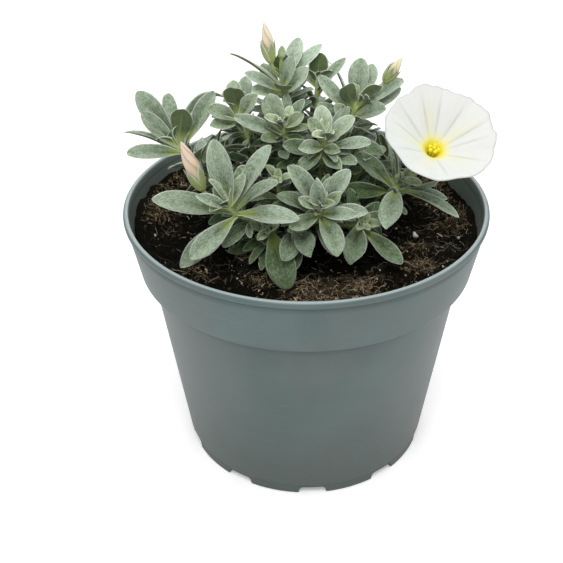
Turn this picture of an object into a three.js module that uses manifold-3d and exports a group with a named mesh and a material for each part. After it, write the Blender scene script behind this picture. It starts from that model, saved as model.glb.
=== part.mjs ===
import * as THREE from "three";
import { mergeVertices } from "three/addons/utils/BufferGeometryUtils.js";
import Module from "manifold-3d";

const wasm = await Module();
wasm.setup();

// Driving dimensions, in millimetres
const SEAT_GAP = 0.3;
const POT_HEIGHT = 130.5;
const POT_RIM_RADIUS = 85;
const POT_FOOT_RADIUS = 60;
const POT_WALL = 1.3;
const BAND_BOTTOM = 101.6;
const BAND_BOTTOM_RADIUS = 79.1;
const BODY_TOP_RADIUS = 74.2;
const FOOT_RING_HEIGHT = 6;
const FOOT_RING_WIDTH = 4.5;
const BASE_RECESS = 3.5;
const NOTCH_COUNT = 10;
const NOTCH_WIDTH = 13;
const NOTCH_HEIGHT = 3.9;
const FIRST_NOTCH_DEG = -86.4;
const DRAIN_COUNT = 5;
const DRAIN_RADIUS = 3.6;
const DRAIN_CIRCLE_RADIUS = 44;
const SOIL_LEVEL = 113.5;
const STEM_DEPTH = 12;
const STEM_FOOT_RADIUS = 1.6;
const STEM_TIP_RADIUS = 1.0;
const LEAF_THICKNESS = 1.3;
const LEAF_LENGTH = 31;
const LOW_LEAF_LENGTH = 21;
const LOW_LEAVES_START = 10;
const LOW_LEAVES_REACH = 26;
const BLOOM_RADIUS = 24.6;
const BLOOM_DEPTH = 23;
const BLOOM_WALL = 0.8;
const BLOOM_CALYX_RADIUS = 4.1;
const BLOOM_CALYX_HEIGHT = 7.5;

// How finely the round shapes are faceted
const POT_SIDES = 48;
const SOIL_SIDES = 28;
const STEM_SIDES = 5;
const BLOOM_SIDES = 40;
const BUD_SIDES = 8;
const ROD_SIDES = 4;
const CALYX_SIDES = 10;

const DEG = Math.PI / 180;
const GOLDEN_ANGLE = 137.508;
const UP = new THREE.Vector3(0, 0, 1);

// The front view that listed leaves are aimed from: 34 degrees above the table
const VIEW_HEIGHT = 34 * DEG;
const VIEW_RIGHT = new THREE.Vector3(1, 0, 0);
const VIEW_UP = new THREE.Vector3(0, Math.sin(VIEW_HEIGHT), Math.cos(VIEW_HEIGHT));
const VIEW_NEAR = new THREE.Vector3(0, -Math.cos(VIEW_HEIGHT), Math.sin(VIEW_HEIGHT));

/*
Shoots, chosen by hand. foot: where the stem leaves the soil. tip: the rosette's centre.
aim: azimuth (0 is +X, -90 is the front) and elevation of its axis, in degrees.
young, longest: leaves drawn by the rule round the centre, and the length they grow to.
low: leaves drawn by the rule further down the stem.
leaves: listed ones, each [clock direction, lean towards the viewer, length, width, bend],
angles in degrees, first the innermost.
*/
const SHOOTS = [
  { name: "shoot_front_left", foot: [-15, -14], tip: [-33.5, -38, 148.5], aim: [-140, 56],
    young: 3, longest: 12, low: 3,
    leaves: [
      [-33, 43, 17.5, 4.5], [26, 28, 17.5, 5.5], [-69, 48, 22, 5], [-13, 27, 33, 10.5], [31, 20, 34, 8.5],
      [58, 31, 28.5, 7.5], [-82, 25, 38, 10.5], [96, 29, 31, 9], [-135, 27, 30.5, 9.5], [-132, 8, 34.5, 9.5]] },
  { name: "shoot_front", foot: [2, -17], tip: [6.5, -40, 149], aim: [-88, 62], young: 3, longest: 8, low: 3,
    leaves: [
      [-70, 45, 14.5, 5], [53, 42, 14.5, 5.5], [-11, 42, 20.5, 7], [-35, 32, 26.5, 8], [35, 34, 25, 8.5],
      [94, 44, 20.5, 6], [-116, 58, 18, 7], [87, 34, 24, 7], [155, 56, 28, 9.5]] },
  { name: "shoot_low_front_left", foot: [-14, -20], tip: [-15.5, -31, 132.5], aim: [-112, 34],
    young: 4, longest: 16, low: 0,
    leaves: [[163, 22, 29, 13], [-20, 4, 14, 8]] },
  { name: "shoot_low_front", foot: [-1, -10], tip: [-4, -29, 133], aim: [-88, 34], young: 4, longest: 14, low: 0,
    leaves: [[-161, 45, 22.5, 9], [152, 50, 25, 9], [-178, 38, 21, 8]] },
  { name: "shoot_low_right", foot: [11, -9], tip: [24, -24, 131], aim: [-62, 38], young: 3, longest: 18, low: 0,
    leaves: [[-168, 45, 25, 10.5], [132, 24, 28, 8, 1]] },
  { name: "shoot_bloom", foot: [18, -2], tip: [42, -8, 142.5], aim: [-38, 55], young: 3, longest: 13, low: 4,
    leaves: [
      [-11, 40, 23.5, 4], [-163, 50, 33, 10.5], [116, 28, 34, 6.5], [-51, 30, 27, 8.5], [100, 28, 26, 5.5],
      [-90, 33, 27, 7.5], [79, 30, 25, 4.5]] },
  { name: "shoot_middle_right", foot: [5, -5], tip: [8, -15, 168.5], aim: [-84, 70],
    young: 3, longest: 9, low: 6,
    leaves: [
      [61, 45, 10.5, 5], [-38, 40, 15, 6.5], [-6, 38, 17.5, 8], [47, 38, 18.5, 7], [-99, 52, 18, 6.5],
      [105, 55, 12, 5], [82, 35, 22, 6.5], [-83, 30, 20.5, 7], [138, 50, 16.5, 6.5], [-114, 42, 14, 6.5]] },
  { name: "shoot_middle_left", foot: [-8, -2], tip: [-10, -6, 170], aim: [-108, 74], young: 3, longest: 9, low: 6,
    leaves: [
      [61, 40, 13.5, 6], [-26, 30, 18.5, 9.5], [86, 52, 14.5, 5.5], [-74, 28, 25, 6.5], [106, 48, 17, 6.5],
      [-104, 50, 15.5, 6.5], [25, 15, 20, 6]] },
  { name: "shoot_upper_right", foot: [12, 6], tip: [23, 5, 176], aim: [-25, 66], young: 3, longest: 11, low: 7,
    leaves: [
      [4, 20, 21.5, 9.5], [22, 0, 21.5, 7], [53, 52, 21, 7], [-27, 57, 17.5, 8], [55, 15, 27.5, 6.5],
      [-21, -12, 29.5, 4.5], [-41, 15, 24, 6.5], [59, 20, 27, 6], [78, 42, 20.5, 8.5], [-47, 40, 12, 6.5]] },
  { name: "shoot_top", foot: [-2, 6], tip: [-11, 10, 186], aim: [165, 84], young: 3, longest: 10, low: 7,
    leaves: [
      [-8, 51, 14.5, 8.5], [23, 10, 21.5, 7.5], [45, 5, 25.5, 6], [-57, 8, 28, 4], [23, 38, 20, 6.5],
      [9, 60, 12, 8], [-66, 30, 21, 6], [47, 45, 19, 7], [-81, 45, 16, 6.5], [-33, 20, 19, 6]] },
  { name: "shoot_top_right", foot: [5, 13], tip: [5, 15, 181], aim: [70, 80], young: 7, longest: 20, low: 7,
    leaves: [[4, 48, 14, 8], [-38, 34, 11.5, 6.5], [43, 5, 20, 5]] },
  { name: "shoot_left", foot: [-20, 0], tip: [-58, -2, 160], aim: [174, 58], young: 3, longest: 12, low: 4,
    leaves: [
      [15, 45, 19, 9.5], [-14, -10, 26.5, 7], [-37, 15, 32, 10], [-47, 26, 25.5, 7.5], [-71, 10, 28.5, 4.5],
      [-93, 20, 27.5, 7.5]] },
  { name: "shoot_left_back", foot: [-17, 9], tip: [-56.5, 12, 154], aim: [120, 66],
    young: 6, longest: 14, low: 4,
    leaves: [[41, 8, 36, 6, 58], [31, 20, 30, 8, 20]] },
  { name: "shoot_upper_left", foot: [-11, 7], tip: [-31, 5, 172.5], aim: [160, 74],
    young: 3, longest: 13, low: 6,
    leaves: [
      [-8, 56, 15, 9], [-9, 12, 16, 7.5], [10, 8, 19.5, 7], [45, 40, 18, 7.5], [-72, 35, 17.5, 7.5],
      [-98, 30, 15.5, 6.5], [25, 25, 16, 7]] },
  { name: "shoot_inner_left", foot: [-14, -6], tip: [-22, -15, 149], aim: [-140, 66], young: 10, low: 2, leaves: [] },
  { name: "shoot_inner_right", foot: [14, 2], tip: [27, -2, 151], aim: [-50, 64], young: 10, low: 3, leaves: [] },
  { name: "shoot_inner_front", foot: [-8, -18], tip: [-12, -25, 151], aim: [-95, 66], young: 9, low: 2, leaves: [] },
  { name: "shoot_middle_back", foot: [-14, 3], tip: [-27, -2, 152], aim: [-170, 70], young: 9, low: 2, leaves: [] },
  { name: "shoot_back_left", foot: [-17, 16], tip: [-42, 34, 138], aim: [135, 50], young: 12, low: 0, leaves: [] },
  { name: "shoot_back", foot: [-6, 18], tip: [-12, 38, 152], aim: [100, 62], young: 12, low: 2, leaves: [] },
  { name: "shoot_back_right", foot: [10, 18], tip: [20, 37, 150], aim: [62, 60], young: 12, low: 2, leaves: [] },
  { name: "shoot_right_back", foot: [20, 9], tip: [44, 20, 143], aim: [28, 52], young: 12, low: 0, leaves: [] },
  { name: "shoot_low_back", foot: [2, 24], tip: [4, 55, 136], aim: [88, 42], young: 12, low: 0, leaves: [] },
  { name: "shoot_low_back_left", foot: [-10, 24], tip: [-26, 53, 132], aim: [116, 40], young: 10, low: 0, leaves: [] },
  { name: "shoot_low_back_right", foot: [15, 21], tip: [36, 46, 132], aim: [54, 40], young: 10, low: 0, leaves: [] },
];

// Leaves keep this far apart, measured between points spread over their middle surfaces
const LEAF_CLEARANCE = 2.5;
const OWN_LEAF_CLEARANCE = 1.8;
const STEM_CLEARANCE = 2.8;
const SOIL_CLEARANCE = 2.2;
const INSIDE_POT_RADIUS = 75;
const SPREAD_LIMIT = 84;

// The buds and the bloom: which shoot carries each, where its calyx starts, and its axis
const BLOOM = { shoot: "shoot_bloom", base: [55.2, -3.8, 152.1], aim: [-74, 60] };
const BUDS = [
  { name: "bud_front", shoot: "shoot_front_left", base: [-44, -36, 156], aim: [168, 69], length: 23, radius: 3.9 },
  { name: "bud_top", shoot: "shoot_top", base: [-15.1, 0, 198.8], aim: [160, 80], length: 17.4, radius: 3.1 },
  { name: "bud_right", shoot: "shoot_upper_right", base: [35, 8, 186], aim: [10, 56], length: 13, radius: 2.7 },
];
const YOUNG_BUD = { shoot: "shoot_top", base: [-10.7, 2, 199.5], aim: [-60, 82], length: 6, radius: 1.8 };

// Colours
const POT_COLOUR = 0x6f8082;
const SOIL_COLOUR = 0x2b201a;
const LEAF_COLOUR = 0x8fa38e;
const BLOOM_COLOUR = 0xf6f6f2;
const STAMEN_COLOUR = 0xe3c21c;
const BUD_COLOURS = { bud_front: 0xe8b79a, bud_top: 0xeeddbb, bud_right: 0xe9dca8 };

function randomStream(seed) {
  let state = (seed * 7919 + 12345) >>> 0;
  return () => {
    state = (Math.imul(state, 1664525) + 1013904223) >>> 0;
    return state / 4294967296;
  };
}

function aimed([azimuth, elevation]) {
  const flat = Math.cos(elevation * DEG);
  return new THREE.Vector3(
    flat * Math.cos(azimuth * DEG),
    flat * Math.sin(azimuth * DEG),
    Math.sin(elevation * DEG),
  );
}

function sideOf(axis, hint) {
  return hint.clone().addScaledVector(axis, -hint.dot(axis)).normalize();
}

// Turning a closed surface into a solid and back
function toSolid(geometry) {
  const bare = geometry.clone();
  bare.deleteAttribute("normal");
  bare.deleteAttribute("uv");
  const merged = mergeVertices(bare, 1e-4);
  const index = merged.index.array;
  const kept = [];
  for (let i = 0; i < index.length; i += 3) {
    const [a, b, c] = [index[i], index[i + 1], index[i + 2]];
    if (a !== b && b !== c && c !== a) {
      kept.push(a, b, c);
    }
  }
  const vertProperties = new Float32Array(merged.attributes.position.array);
  const mesh = new wasm.Mesh({ numProp: 3, vertProperties, triVerts: new Uint32Array(kept) });
  return new wasm.Manifold(mesh);
}

function toGeometry(solid) {
  const mesh = solid.getMesh();
  const geometry = new THREE.BufferGeometry();
  geometry.setAttribute("position", new THREE.Float32BufferAttribute(mesh.vertProperties, 3));
  geometry.setIndex(new THREE.Uint32BufferAttribute(mesh.triVerts, 1));
  geometry.computeVertexNormals();
  return geometry;
}

// A closed body through rings of equal count, each ring running anticlockwise seen from the end
function loft(rings, startPoint, endPoint) {
  const sides = rings[0].length;
  const points = [startPoint, ...rings.flat(), endPoint];
  const last = points.length - 1;
  const index = [];
  for (let i = 0; i < sides; i += 1) {
    const next = (i + 1) % sides;
    index.push(0, 1 + next, 1 + i);
    for (let r = 0; r < rings.length - 1; r += 1) {
      const low = 1 + r * sides;
      const high = low + sides;
      index.push(low + i, low + next, high + next);
      index.push(low + i, high + next, high + i);
    }
    const top = 1 + (rings.length - 1) * sides;
    index.push(last, top + i, top + next);
  }
  const geometry = new THREE.BufferGeometry().setFromPoints(points);
  geometry.setIndex(index);
  return geometry;
}

// Pot
function potProfile() {
  const rim = POT_RIM_RADIUS;
  const underLip = rim - 1.6;
  const footInner = POT_FOOT_RADIUS - FOOT_RING_WIDTH;
  const bodyFoot = POT_FOOT_RADIUS + 0.9;
  const floorTop = BASE_RECESS + POT_WALL + 0.2;
  const ledge = BAND_BOTTOM + POT_WALL;
  return [
    [0, BASE_RECESS],
    [footInner - 0.8, BASE_RECESS],
    [footInner, 0],
    [POT_FOOT_RADIUS - 0.5, 0],
    [POT_FOOT_RADIUS, 0.6],
    [POT_FOOT_RADIUS, FOOT_RING_HEIGHT - 0.5],
    [bodyFoot, FOOT_RING_HEIGHT + 0.4],
    [BODY_TOP_RADIUS, BAND_BOTTOM],
    [BAND_BOTTOM_RADIUS - 0.4, BAND_BOTTOM],
    [BAND_BOTTOM_RADIUS, BAND_BOTTOM + 0.5],
    [underLip, POT_HEIGHT - 4.1],
    [rim - 0.4, POT_HEIGHT - 3.7],
    [rim, POT_HEIGHT - 2.6],
    [rim - 0.1, POT_HEIGHT - 0.9],
    [rim - 1.0, POT_HEIGHT],
    [rim - 2.1, POT_HEIGHT],
    [rim - 2.75, POT_HEIGHT - 0.8],
    [BAND_BOTTOM_RADIUS - POT_WALL, ledge],
    [BODY_TOP_RADIUS - POT_WALL, ledge],
    [bodyFoot - POT_WALL, floorTop],
    [0, floorTop],
  ].map(([r, z]) => new THREE.Vector2(r, z));
}

function turned(profile, sides) {
  const geometry = new THREE.LatheGeometry(profile, sides);
  geometry.rotateX(Math.PI / 2);
  return toSolid(geometry);
}

function notchCutter(angle) {
  const half = NOTCH_WIDTH / 2;
  const corner = 1.4;
  const outline = new THREE.Shape();
  outline.moveTo(-half - 0.6, -1);
  outline.lineTo(half + 0.6, -1);
  outline.lineTo(half, NOTCH_HEIGHT - corner);
  outline.lineTo(half - corner, NOTCH_HEIGHT);
  outline.lineTo(corner - half, NOTCH_HEIGHT);
  outline.lineTo(-half, NOTCH_HEIGHT - corner);
  const depth = FOOT_RING_WIDTH + 4;
  const geometry = new THREE.ExtrudeGeometry(outline, { depth, bevelEnabled: false });
  geometry.rotateX(Math.PI / 2);
  geometry.translate(0, POT_FOOT_RADIUS + 2, 0);
  geometry.rotateZ(angle - Math.PI / 2);
  return toSolid(geometry);
}

function drainCutter(angle) {
  const geometry = new THREE.CylinderGeometry(DRAIN_RADIUS, DRAIN_RADIUS, 4 * POT_WALL, 12);
  geometry.rotateX(Math.PI / 2);
  geometry.translate(DRAIN_CIRCLE_RADIUS, 0, BASE_RECESS + POT_WALL);
  geometry.rotateZ(angle);
  return toSolid(geometry);
}

function makePot() {
  let pot = turned(potProfile(), POT_SIDES);
  for (let i = 0; i < NOTCH_COUNT; i += 1) {
    pot = pot.subtract(notchCutter((FIRST_NOTCH_DEG + (i * 360) / NOTCH_COUNT) * DEG));
  }
  for (let i = 0; i < DRAIN_COUNT; i += 1) {
    pot = pot.subtract(drainCutter(((i + 0.5) * 2 * Math.PI) / DRAIN_COUNT));
  }
  return pot;
}

// Soil: its top is raised and sunk by a formula, and each stem stands in a plain hole
function soilHeight(x, y) {
  const broad = 1.1 * Math.sin(0.071 * x + 0.9) * Math.cos(0.083 * y - 0.4);
  const lumps = 0.7 * Math.sin(0.21 * x - 0.17 * y) + 0.5 * Math.cos(0.33 * y + 0.12 * x);
  const mound = 1.6 * Math.exp(-(x * x + y * y) / 900);
  return SOIL_LEVEL + broad + lumps + mound;
}

function makeSoil(stems) {
  const ledge = BAND_BOTTOM + POT_WALL + 0.4;
  const floor = BASE_RECESS + POT_WALL + 0.2 + SEAT_GAP;
  const bandInner = BAND_BOTTOM_RADIUS - POT_WALL - 0.5;
  const ledgeInner = BODY_TOP_RADIUS - POT_WALL - 0.5;
  const footInner = POT_FOOT_RADIUS + 0.9 - POT_WALL - 0.5;
  const brim = 78.5;
  const fallToWall = (BODY_TOP_RADIUS - POT_FOOT_RADIUS) / BAND_BOTTOM;
  const sideRings = [
    [footInner, floor],
    [ledgeInner - fallToWall, ledge - POT_WALL - 0.4],
    [ledgeInner - fallToWall, ledge],
    [bandInner, ledge],
  ];
  const topRadii = [brim, 70, 56, 42, 28, 14];
  const ringAt = (radius, height) => {
    const ring = [];
    for (let i = 0; i < SOIL_SIDES; i += 1) {
      const angle = (i * 2 * Math.PI) / SOIL_SIDES;
      const [x, y] = [radius * Math.cos(angle), radius * Math.sin(angle)];
      ring.push(new THREE.Vector3(x, y, height ?? soilHeight(x, y)));
    }
    return ring;
  };
  const rings = [
    ...sideRings.map(([radius, height]) => ringAt(radius, height)),
    ...topRadii.map((radius) => ringAt(radius)),
  ];
  const crown = new THREE.Vector3(0, 0, soilHeight(0, 0));
  let soil = toSolid(loft(rings, new THREE.Vector3(0, 0, floor), crown));
  for (const stem of stems) {
    const [x, y] = stem.foot;
    const radius = (STEM_FOOT_RADIUS + SEAT_GAP) / Math.cos(Math.PI / STEM_SIDES);
    const height = STEM_DEPTH + 10;
    const hole = new THREE.CylinderGeometry(radius, radius, height, STEM_SIDES);
    hole.rotateX(Math.PI / 2);
    hole.translate(x, y, stemBottom(stem) - SEAT_GAP + height / 2);
    soil = soil.subtract(toSolid(hole));
  }
  return soil;
}

// Stems
function stemBottom(shoot) {
  return soilHeight(...shoot.foot) - STEM_DEPTH;
}

function stemCurve(shoot) {
  const [x, y] = shoot.foot;
  const bottom = new THREE.Vector3(x, y, stemBottom(shoot));
  const start = new THREE.Vector3(x, y, soilHeight(x, y) + 2);
  const tip = new THREE.Vector3(...shoot.tip);
  const reach = start.distanceTo(tip);
  const riser = start.clone().addScaledVector(UP, 0.4 * reach);
  const neck = tip.clone().addScaledVector(aimed(shoot.aim), -0.45 * reach);
  const path = new THREE.CurvePath();
  path.add(new THREE.LineCurve3(bottom, start));
  path.add(new THREE.CubicBezierCurve3(start, riser, neck, tip));
  return path;
}

// Rings across a path, turned by as little as the path allows, from a fixed first direction
function ringsAlong(points, radii, sides) {
  let across = new THREE.Vector3(1, 0, 0);
  return points.map((point, i) => {
    const before = points[Math.max(i - 1, 0)];
    const after = points[Math.min(i + 1, points.length - 1)];
    const along = after.clone().sub(before).normalize();
    across = sideOf(along, across);
    const other = along.clone().cross(across);
    const ring = [];
    for (let k = 0; k < sides; k += 1) {
      const angle = (k * 2 * Math.PI) / sides + Math.PI / 2;
      const radius = radii[i];
      ring.push(point.clone()
        .addScaledVector(across, radius * Math.cos(angle))
        .addScaledVector(other, radius * Math.sin(angle)));
    }
    return ring;
  });
}

function makeStem(shoot) {
  const path = stemCurve(shoot);
  const bend = path.curves[1];
  const points = [path.curves[0].v1, path.curves[0].v2];
  const steps = 5;
  for (let i = 1; i <= steps; i += 1) {
    points.push(bend.getPoint(i / steps));
  }
  const radii = points.map((_, i) => {
    const share = Math.max(i - 1, 0) / (points.length - 2);
    return STEM_FOOT_RADIUS + share * (STEM_TIP_RADIUS - STEM_FOOT_RADIUS);
  });
  const rings = ringsAlong(points, radii, STEM_SIDES);
  return toSolid(loft(rings, points[0], points[points.length - 1]));
}

// Leaves: an oblanceolate outline, narrow at the base and widest past the middle
function leafHalfWidth(leaf, s) {
  const blade = Math.sin(Math.PI * s ** 1.6) ** 0.75;
  return (leaf.width / 2) * Math.max(blade, 0.2 * (1 - s));
}

// A point of a leaf: s runs from base to tip, across from -1 to 1, lift along its face
function leafPoint(leaf, s, across, lift) {
  const turn = leaf.bend * (2 * s - 1);
  const ahead = (leaf.length * (Math.sin(turn) + Math.sin(leaf.bend))) / (2 * leaf.bend);
  const rise = (leaf.length * (Math.cos(turn) - Math.cos(leaf.bend))) / (2 * leaf.bend);
  const half = leafHalfWidth(leaf, s);
  const facing = leaf.face.clone().multiplyScalar(Math.cos(turn)).addScaledVector(leaf.along, Math.sin(turn));
  return leaf.base.clone()
    .addScaledVector(leaf.along, ahead)
    .addScaledVector(leaf.face, rise)
    .addScaledVector(leaf.side, across * half)
    .addScaledVector(facing, leaf.fold * Math.abs(across) * half + lift);
}

function makeLeaf(leaf) {
  const rings = [0.28, 0.63, 0.9].map((s) => {
    const share = leafHalfWidth(leaf, s) / (leaf.width / 2);
    const keel = LEAF_THICKNESS * Math.max(share, 0.6);
    return [
      leafPoint(leaf, s, -1, 0),
      leafPoint(leaf, s, 1, 0),
      leafPoint(leaf, s, 0, -keel),
    ];
  });
  return toSolid(loft(rings, leafPoint(leaf, 0, 0, 0), leafPoint(leaf, 1, 0, 0)));
}

// Points spread over a leaf, that its distance to other pieces is measured between
const SAMPLE_ROWS = 12;
const SAMPLE_ACROSS = [-1, -0.5, 0, 0.5, 1];
const MIDDLE_SAMPLE = 27;

function leafSamples(leaf) {
  const samples = [];
  for (let row = 1; row <= SAMPLE_ROWS; row += 1) {
    const s = row / SAMPLE_ROWS;
    for (const across of SAMPLE_ACROSS) {
      samples.push({ point: leafPoint(leaf, s, across, 0), s });
    }
  }
  return samples;
}

function aimLeaf(base, along, facing, length, width, bend, fold) {
  const face = sideOf(along, facing);
  const side = along.clone().cross(face);
  return { base, along, face, side, length, width, bend, fold };
}

// A listed leaf, by its clock direction and its lean out of the front view. It turns its face to
// the front, but one that leans far over shows its back, and one that bends far is seen from a side.
function listedLeaf(shoot, order, leanChange, shrink, random) {
  const [clock, lean, length, width, bend = 9] = shoot.leaves[order];
  const out = (lean + leanChange) * DEG;
  const along = new THREE.Vector3()
    .addScaledVector(VIEW_RIGHT, Math.cos(out) * Math.sin(clock * DEG))
    .addScaledVector(VIEW_UP, Math.cos(out) * Math.cos(clock * DEG))
    .addScaledVector(VIEW_NEAR, Math.sin(out));
  const showsBack = lean >= 50 && Math.abs(clock) < 90;
  const facing = showsBack || bend > 30 ? aimed(shoot.aim) : VIEW_NEAR.clone().addScaledVector(aimed(shoot.aim), 0.35);
  const base = alongStem(shoot, 0.5 + order);
  return aimLeaf(base, along, facing, shrink * length, shrink * width, bend * DEG, random.fold);
}

// A leaf by the rule, each next one a golden angle round. The young ones get longer and more
// spread away from the centre; the low ones stand well out from the stem.
function ruledLeaf(shoot, order, turnChange, shrink, random) {
  const longest = shoot.longest ?? LEAF_LENGTH;
  const isYoung = order < shoot.young;
  const share = isYoung ? order / (shoot.young - 1) : (order - shoot.young + 0.5) / shoot.low;
  const axis = aimed(shoot.aim);
  const first = sideOf(axis, UP);
  const second = axis.clone().cross(first);
  const turn = (random.spin + GOLDEN_ANGLE * order + random.jitter + turnChange) * DEG;
  const spread = (isYoung ? 14 + 64 * share ** 0.8 : 56 + 24 * share) + random.spread;
  const along = axis.clone().multiplyScalar(Math.cos(spread * DEG))
    .addScaledVector(first, Math.sin(spread * DEG) * Math.cos(turn))
    .addScaledVector(second, Math.sin(spread * DEG) * Math.sin(turn));
  const full = isYoung ? 6 + (longest - 6) * share ** 0.6 : LOW_LEAF_LENGTH;
  const length = shrink * full * random.length;
  const width = length * (0.33 - 0.04 * share) * random.width;
  const down = isYoung ? 0.6 + 0.85 * longest * share : LOW_LEAVES_START + LOW_LEAVES_REACH * share;
  return aimLeaf(alongStem(shoot, down), along, axis, length, width, random.bend, random.fold);
}

function alongStem(shoot, down) {
  const bend = stemCurve(shoot).curves[1];
  const whole = bend.getLength();
  return bend.getPointAt(Math.max(1 - down / whole, 0.12));
}

// What the leaves keep clear of, and the leaves placed so far
function stemSamples(shoot) {
  const bend = stemCurve(shoot).curves[1];
  const count = 20;
  return Array.from({ length: count + 1 }, (_, i) => bend.getPoint(i / count));
}

function isClear(samples, own, obstacles, placed) {
  for (const { point, s } of samples) {
    const radius = Math.hypot(point.x, point.y);
    if (point.z < soilHeight(point.x, point.y) + SOIL_CLEARANCE && s > 0.3) {
      return false;
    }
    if (point.z < POT_HEIGHT + 2.5 && radius > INSIDE_POT_RADIUS) {
      return false;
    }
    if (Math.max(Math.abs(point.x), Math.abs(point.y)) > SPREAD_LIMIT) {
      return false;
    }
    for (const obstacle of obstacles) {
      const skips = obstacle.shoot === own && !obstacle.bloom;
      if (!skips && point.distanceTo(obstacle.point) < obstacle.keep) {
        return false;
      }
    }
  }
  for (const other of placed) {
    const mates = other.shoot === own;
    const keep = mates ? OWN_LEAF_CLEARANCE : LEAF_CLEARANCE;
    if (other.middle.distanceTo(samples[MIDDLE_SAMPLE].point) > other.reach + 22) {
      continue;
    }
    for (const a of samples) {
      if (mates && a.s < 0.5) {
        continue;
      }
      for (const b of other.samples) {
        if ((!mates || b.s >= 0.5) && a.point.distanceTo(b.point) < keep) {
          return false;
        }
      }
    }
  }
  return true;
}

// The leaf that fits: the same leaf turned a little, then shortened, or none
function fitLeaf(shoot, maker, order, changes, random, obstacles, placed) {
  for (const shrink of [1, 0.82, 0.66]) {
    for (const change of changes) {
      const leaf = maker(shoot, order, change, shrink, random);
      const samples = leafSamples(leaf);
      if (isClear(samples, shoot.name, obstacles, placed)) {
        placed.push({ shoot: shoot.name, samples, middle: samples[MIDDLE_SAMPLE].point, reach: leaf.length / 2 });
        return leaf;
      }
    }
  }
  return null;
}

function placeLeaves(obstacles) {
  const placed = [];
  const leaves = Object.fromEntries(SHOOTS.map((shoot) => [shoot.name, []]));
  SHOOTS.forEach((shoot, number) => {
    const draw = randomStream(number + 1);
    for (let order = 0; order < shoot.leaves.length; order += 1) {
      const random = { fold: 0.12 + 0.2 * draw() };
      const changes = [0, 7, -7, 14, -14, 21, -21, 28];
      const leaf = fitLeaf(shoot, listedLeaf, order, changes, random, obstacles, placed);
      if (leaf) {
        leaves[shoot.name].push(leaf);
      }
    }
  });
  SHOOTS.forEach((shoot, number) => {
    const draw = randomStream(number + 101);
    const spin = 360 * draw();
    for (let order = 0; order < shoot.young + shoot.low; order += 1) {
      const random = {
        spin,
        jitter: 24 * (draw() - 0.5),
        spread: 12 * (draw() - 0.5),
        length: 0.9 + 0.2 * draw(),
        width: 0.9 + 0.2 * draw(),
        bend: (4 + 14 * draw()) * DEG,
        fold: 0.12 + 0.2 * draw(),
      };
      const changes = [0, 16, -16, 32, -32, 48, -48, 64, -64, 80, -80];
      const leaf = fitLeaf(shoot, ruledLeaf, order, changes, random, obstacles, placed);
      if (leaf) {
        leaves[shoot.name].push(leaf);
      }
    }
  });
  return leaves;
}

// Calyx: a small cup of five sepals on its stalk, hollow for the corolla that it holds
function frameAt(base, aim) {
  const axis = aimed(aim);
  const across = sideOf(axis, UP);
  return { base: new THREE.Vector3(...base), axis, across, other: axis.clone().cross(across) };
}

function onFrame(frame, angle, radius, height) {
  return frame.base.clone()
    .addScaledVector(frame.across, radius * Math.cos(angle))
    .addScaledVector(frame.other, radius * Math.sin(angle))
    .addScaledVector(frame.axis, height);
}

function makeCalyx(frame, radius, height) {
  const ringOf = (share, level, tips) => {
    const ring = [];
    for (let i = 0; i < CALYX_SIDES; i += 1) {
      const angle = (i * 2 * Math.PI) / CALYX_SIDES;
      const lift = tips && i % 2 === 0 ? 0.28 * height : 0;
      ring.push(onFrame(frame, angle, share * radius, level * height + lift));
    }
    return ring;
  };
  const inner = 1 - 0.75 / radius;
  const rings = [
    ringOf(0.55, 0.05, false),
    ringOf(1.0, 0.35, false),
    ringOf(1.02, 0.72, true),
    ringOf(inner, 0.72, true),
    ringOf(inner, 0.4, false),
    ringOf(0.4, 0.2, false),
  ];
  const start = frame.base.clone().addScaledVector(frame.axis, -0.04 * height);
  const end = frame.base.clone().addScaledVector(frame.axis, 0.2 * height);
  return toSolid(loft(rings, start, end));
}

function makeStalk(shoot, frame) {
  const from = alongStem(shoot, 0.8);
  const neck = frame.base.clone().addScaledVector(frame.axis, -0.45 * from.distanceTo(frame.base));
  const end = frame.base.clone().addScaledVector(frame.axis, 0.6);
  const lead = from.clone().addScaledVector(aimed(shoot.aim), 0.3 * from.distanceTo(frame.base));
  const curve = new THREE.CubicBezierCurve3(from, lead, neck, end);
  const points = curve.getPoints(4);
  const rings = ringsAlong(points, points.map(() => 0.75), STEM_SIDES);
  return toSolid(loft(rings, points[0], points[points.length - 1]));
}

// Bud: a spindle of rolled petals, seated in its calyx
function makeBud({ frame, length, radius }) {
  const calyx = 0.5 * length;
  const inner = radius - 0.75 - SEAT_GAP;
  const floor = 0.2 * calyx + SEAT_GAP;
  const profile = [
    [0.45 * inner, 0.45 * calyx],
    [inner, 0.75 * calyx],
    [inner, 1.04 * calyx],
    [radius * 0.92, 0.64 * length],
    [radius * 0.58, 0.84 * length],
  ];
  const rings = profile.map(([ring, level], row) => {
    const points = [];
    for (let i = 0; i < BUD_SIDES; i += 1) {
      const angle = (i * 2 * Math.PI) / BUD_SIDES + 0.35 * row;
      points.push(onFrame(frame, angle, ring * (i % 2 ? 0.94 : 1), level));
    }
    return points;
  });
  const start = onFrame(frame, 0, 0, floor);
  const end = onFrame(frame, 0, 0, length);
  return toSolid(loft(rings, start, end));
}

// Young bud: still closed in its sepals, so that it is one with its stem
function makeYoungBud({ frame, length, radius }) {
  const profile = [[0.8, 0.12], [1, 0.4], [0.7, 0.75]];
  const rings = profile.map(([share, level]) => {
    const angles = Array.from({ length: BUD_SIDES }, (_, i) => (i * 2 * Math.PI) / BUD_SIDES);
    return angles.map((angle) => onFrame(frame, angle, share * radius, level * length));
  });
  return toSolid(loft(rings, onFrame(frame, 0, 0, -0.3), onFrame(frame, 0, 0, length)));
}

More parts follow.
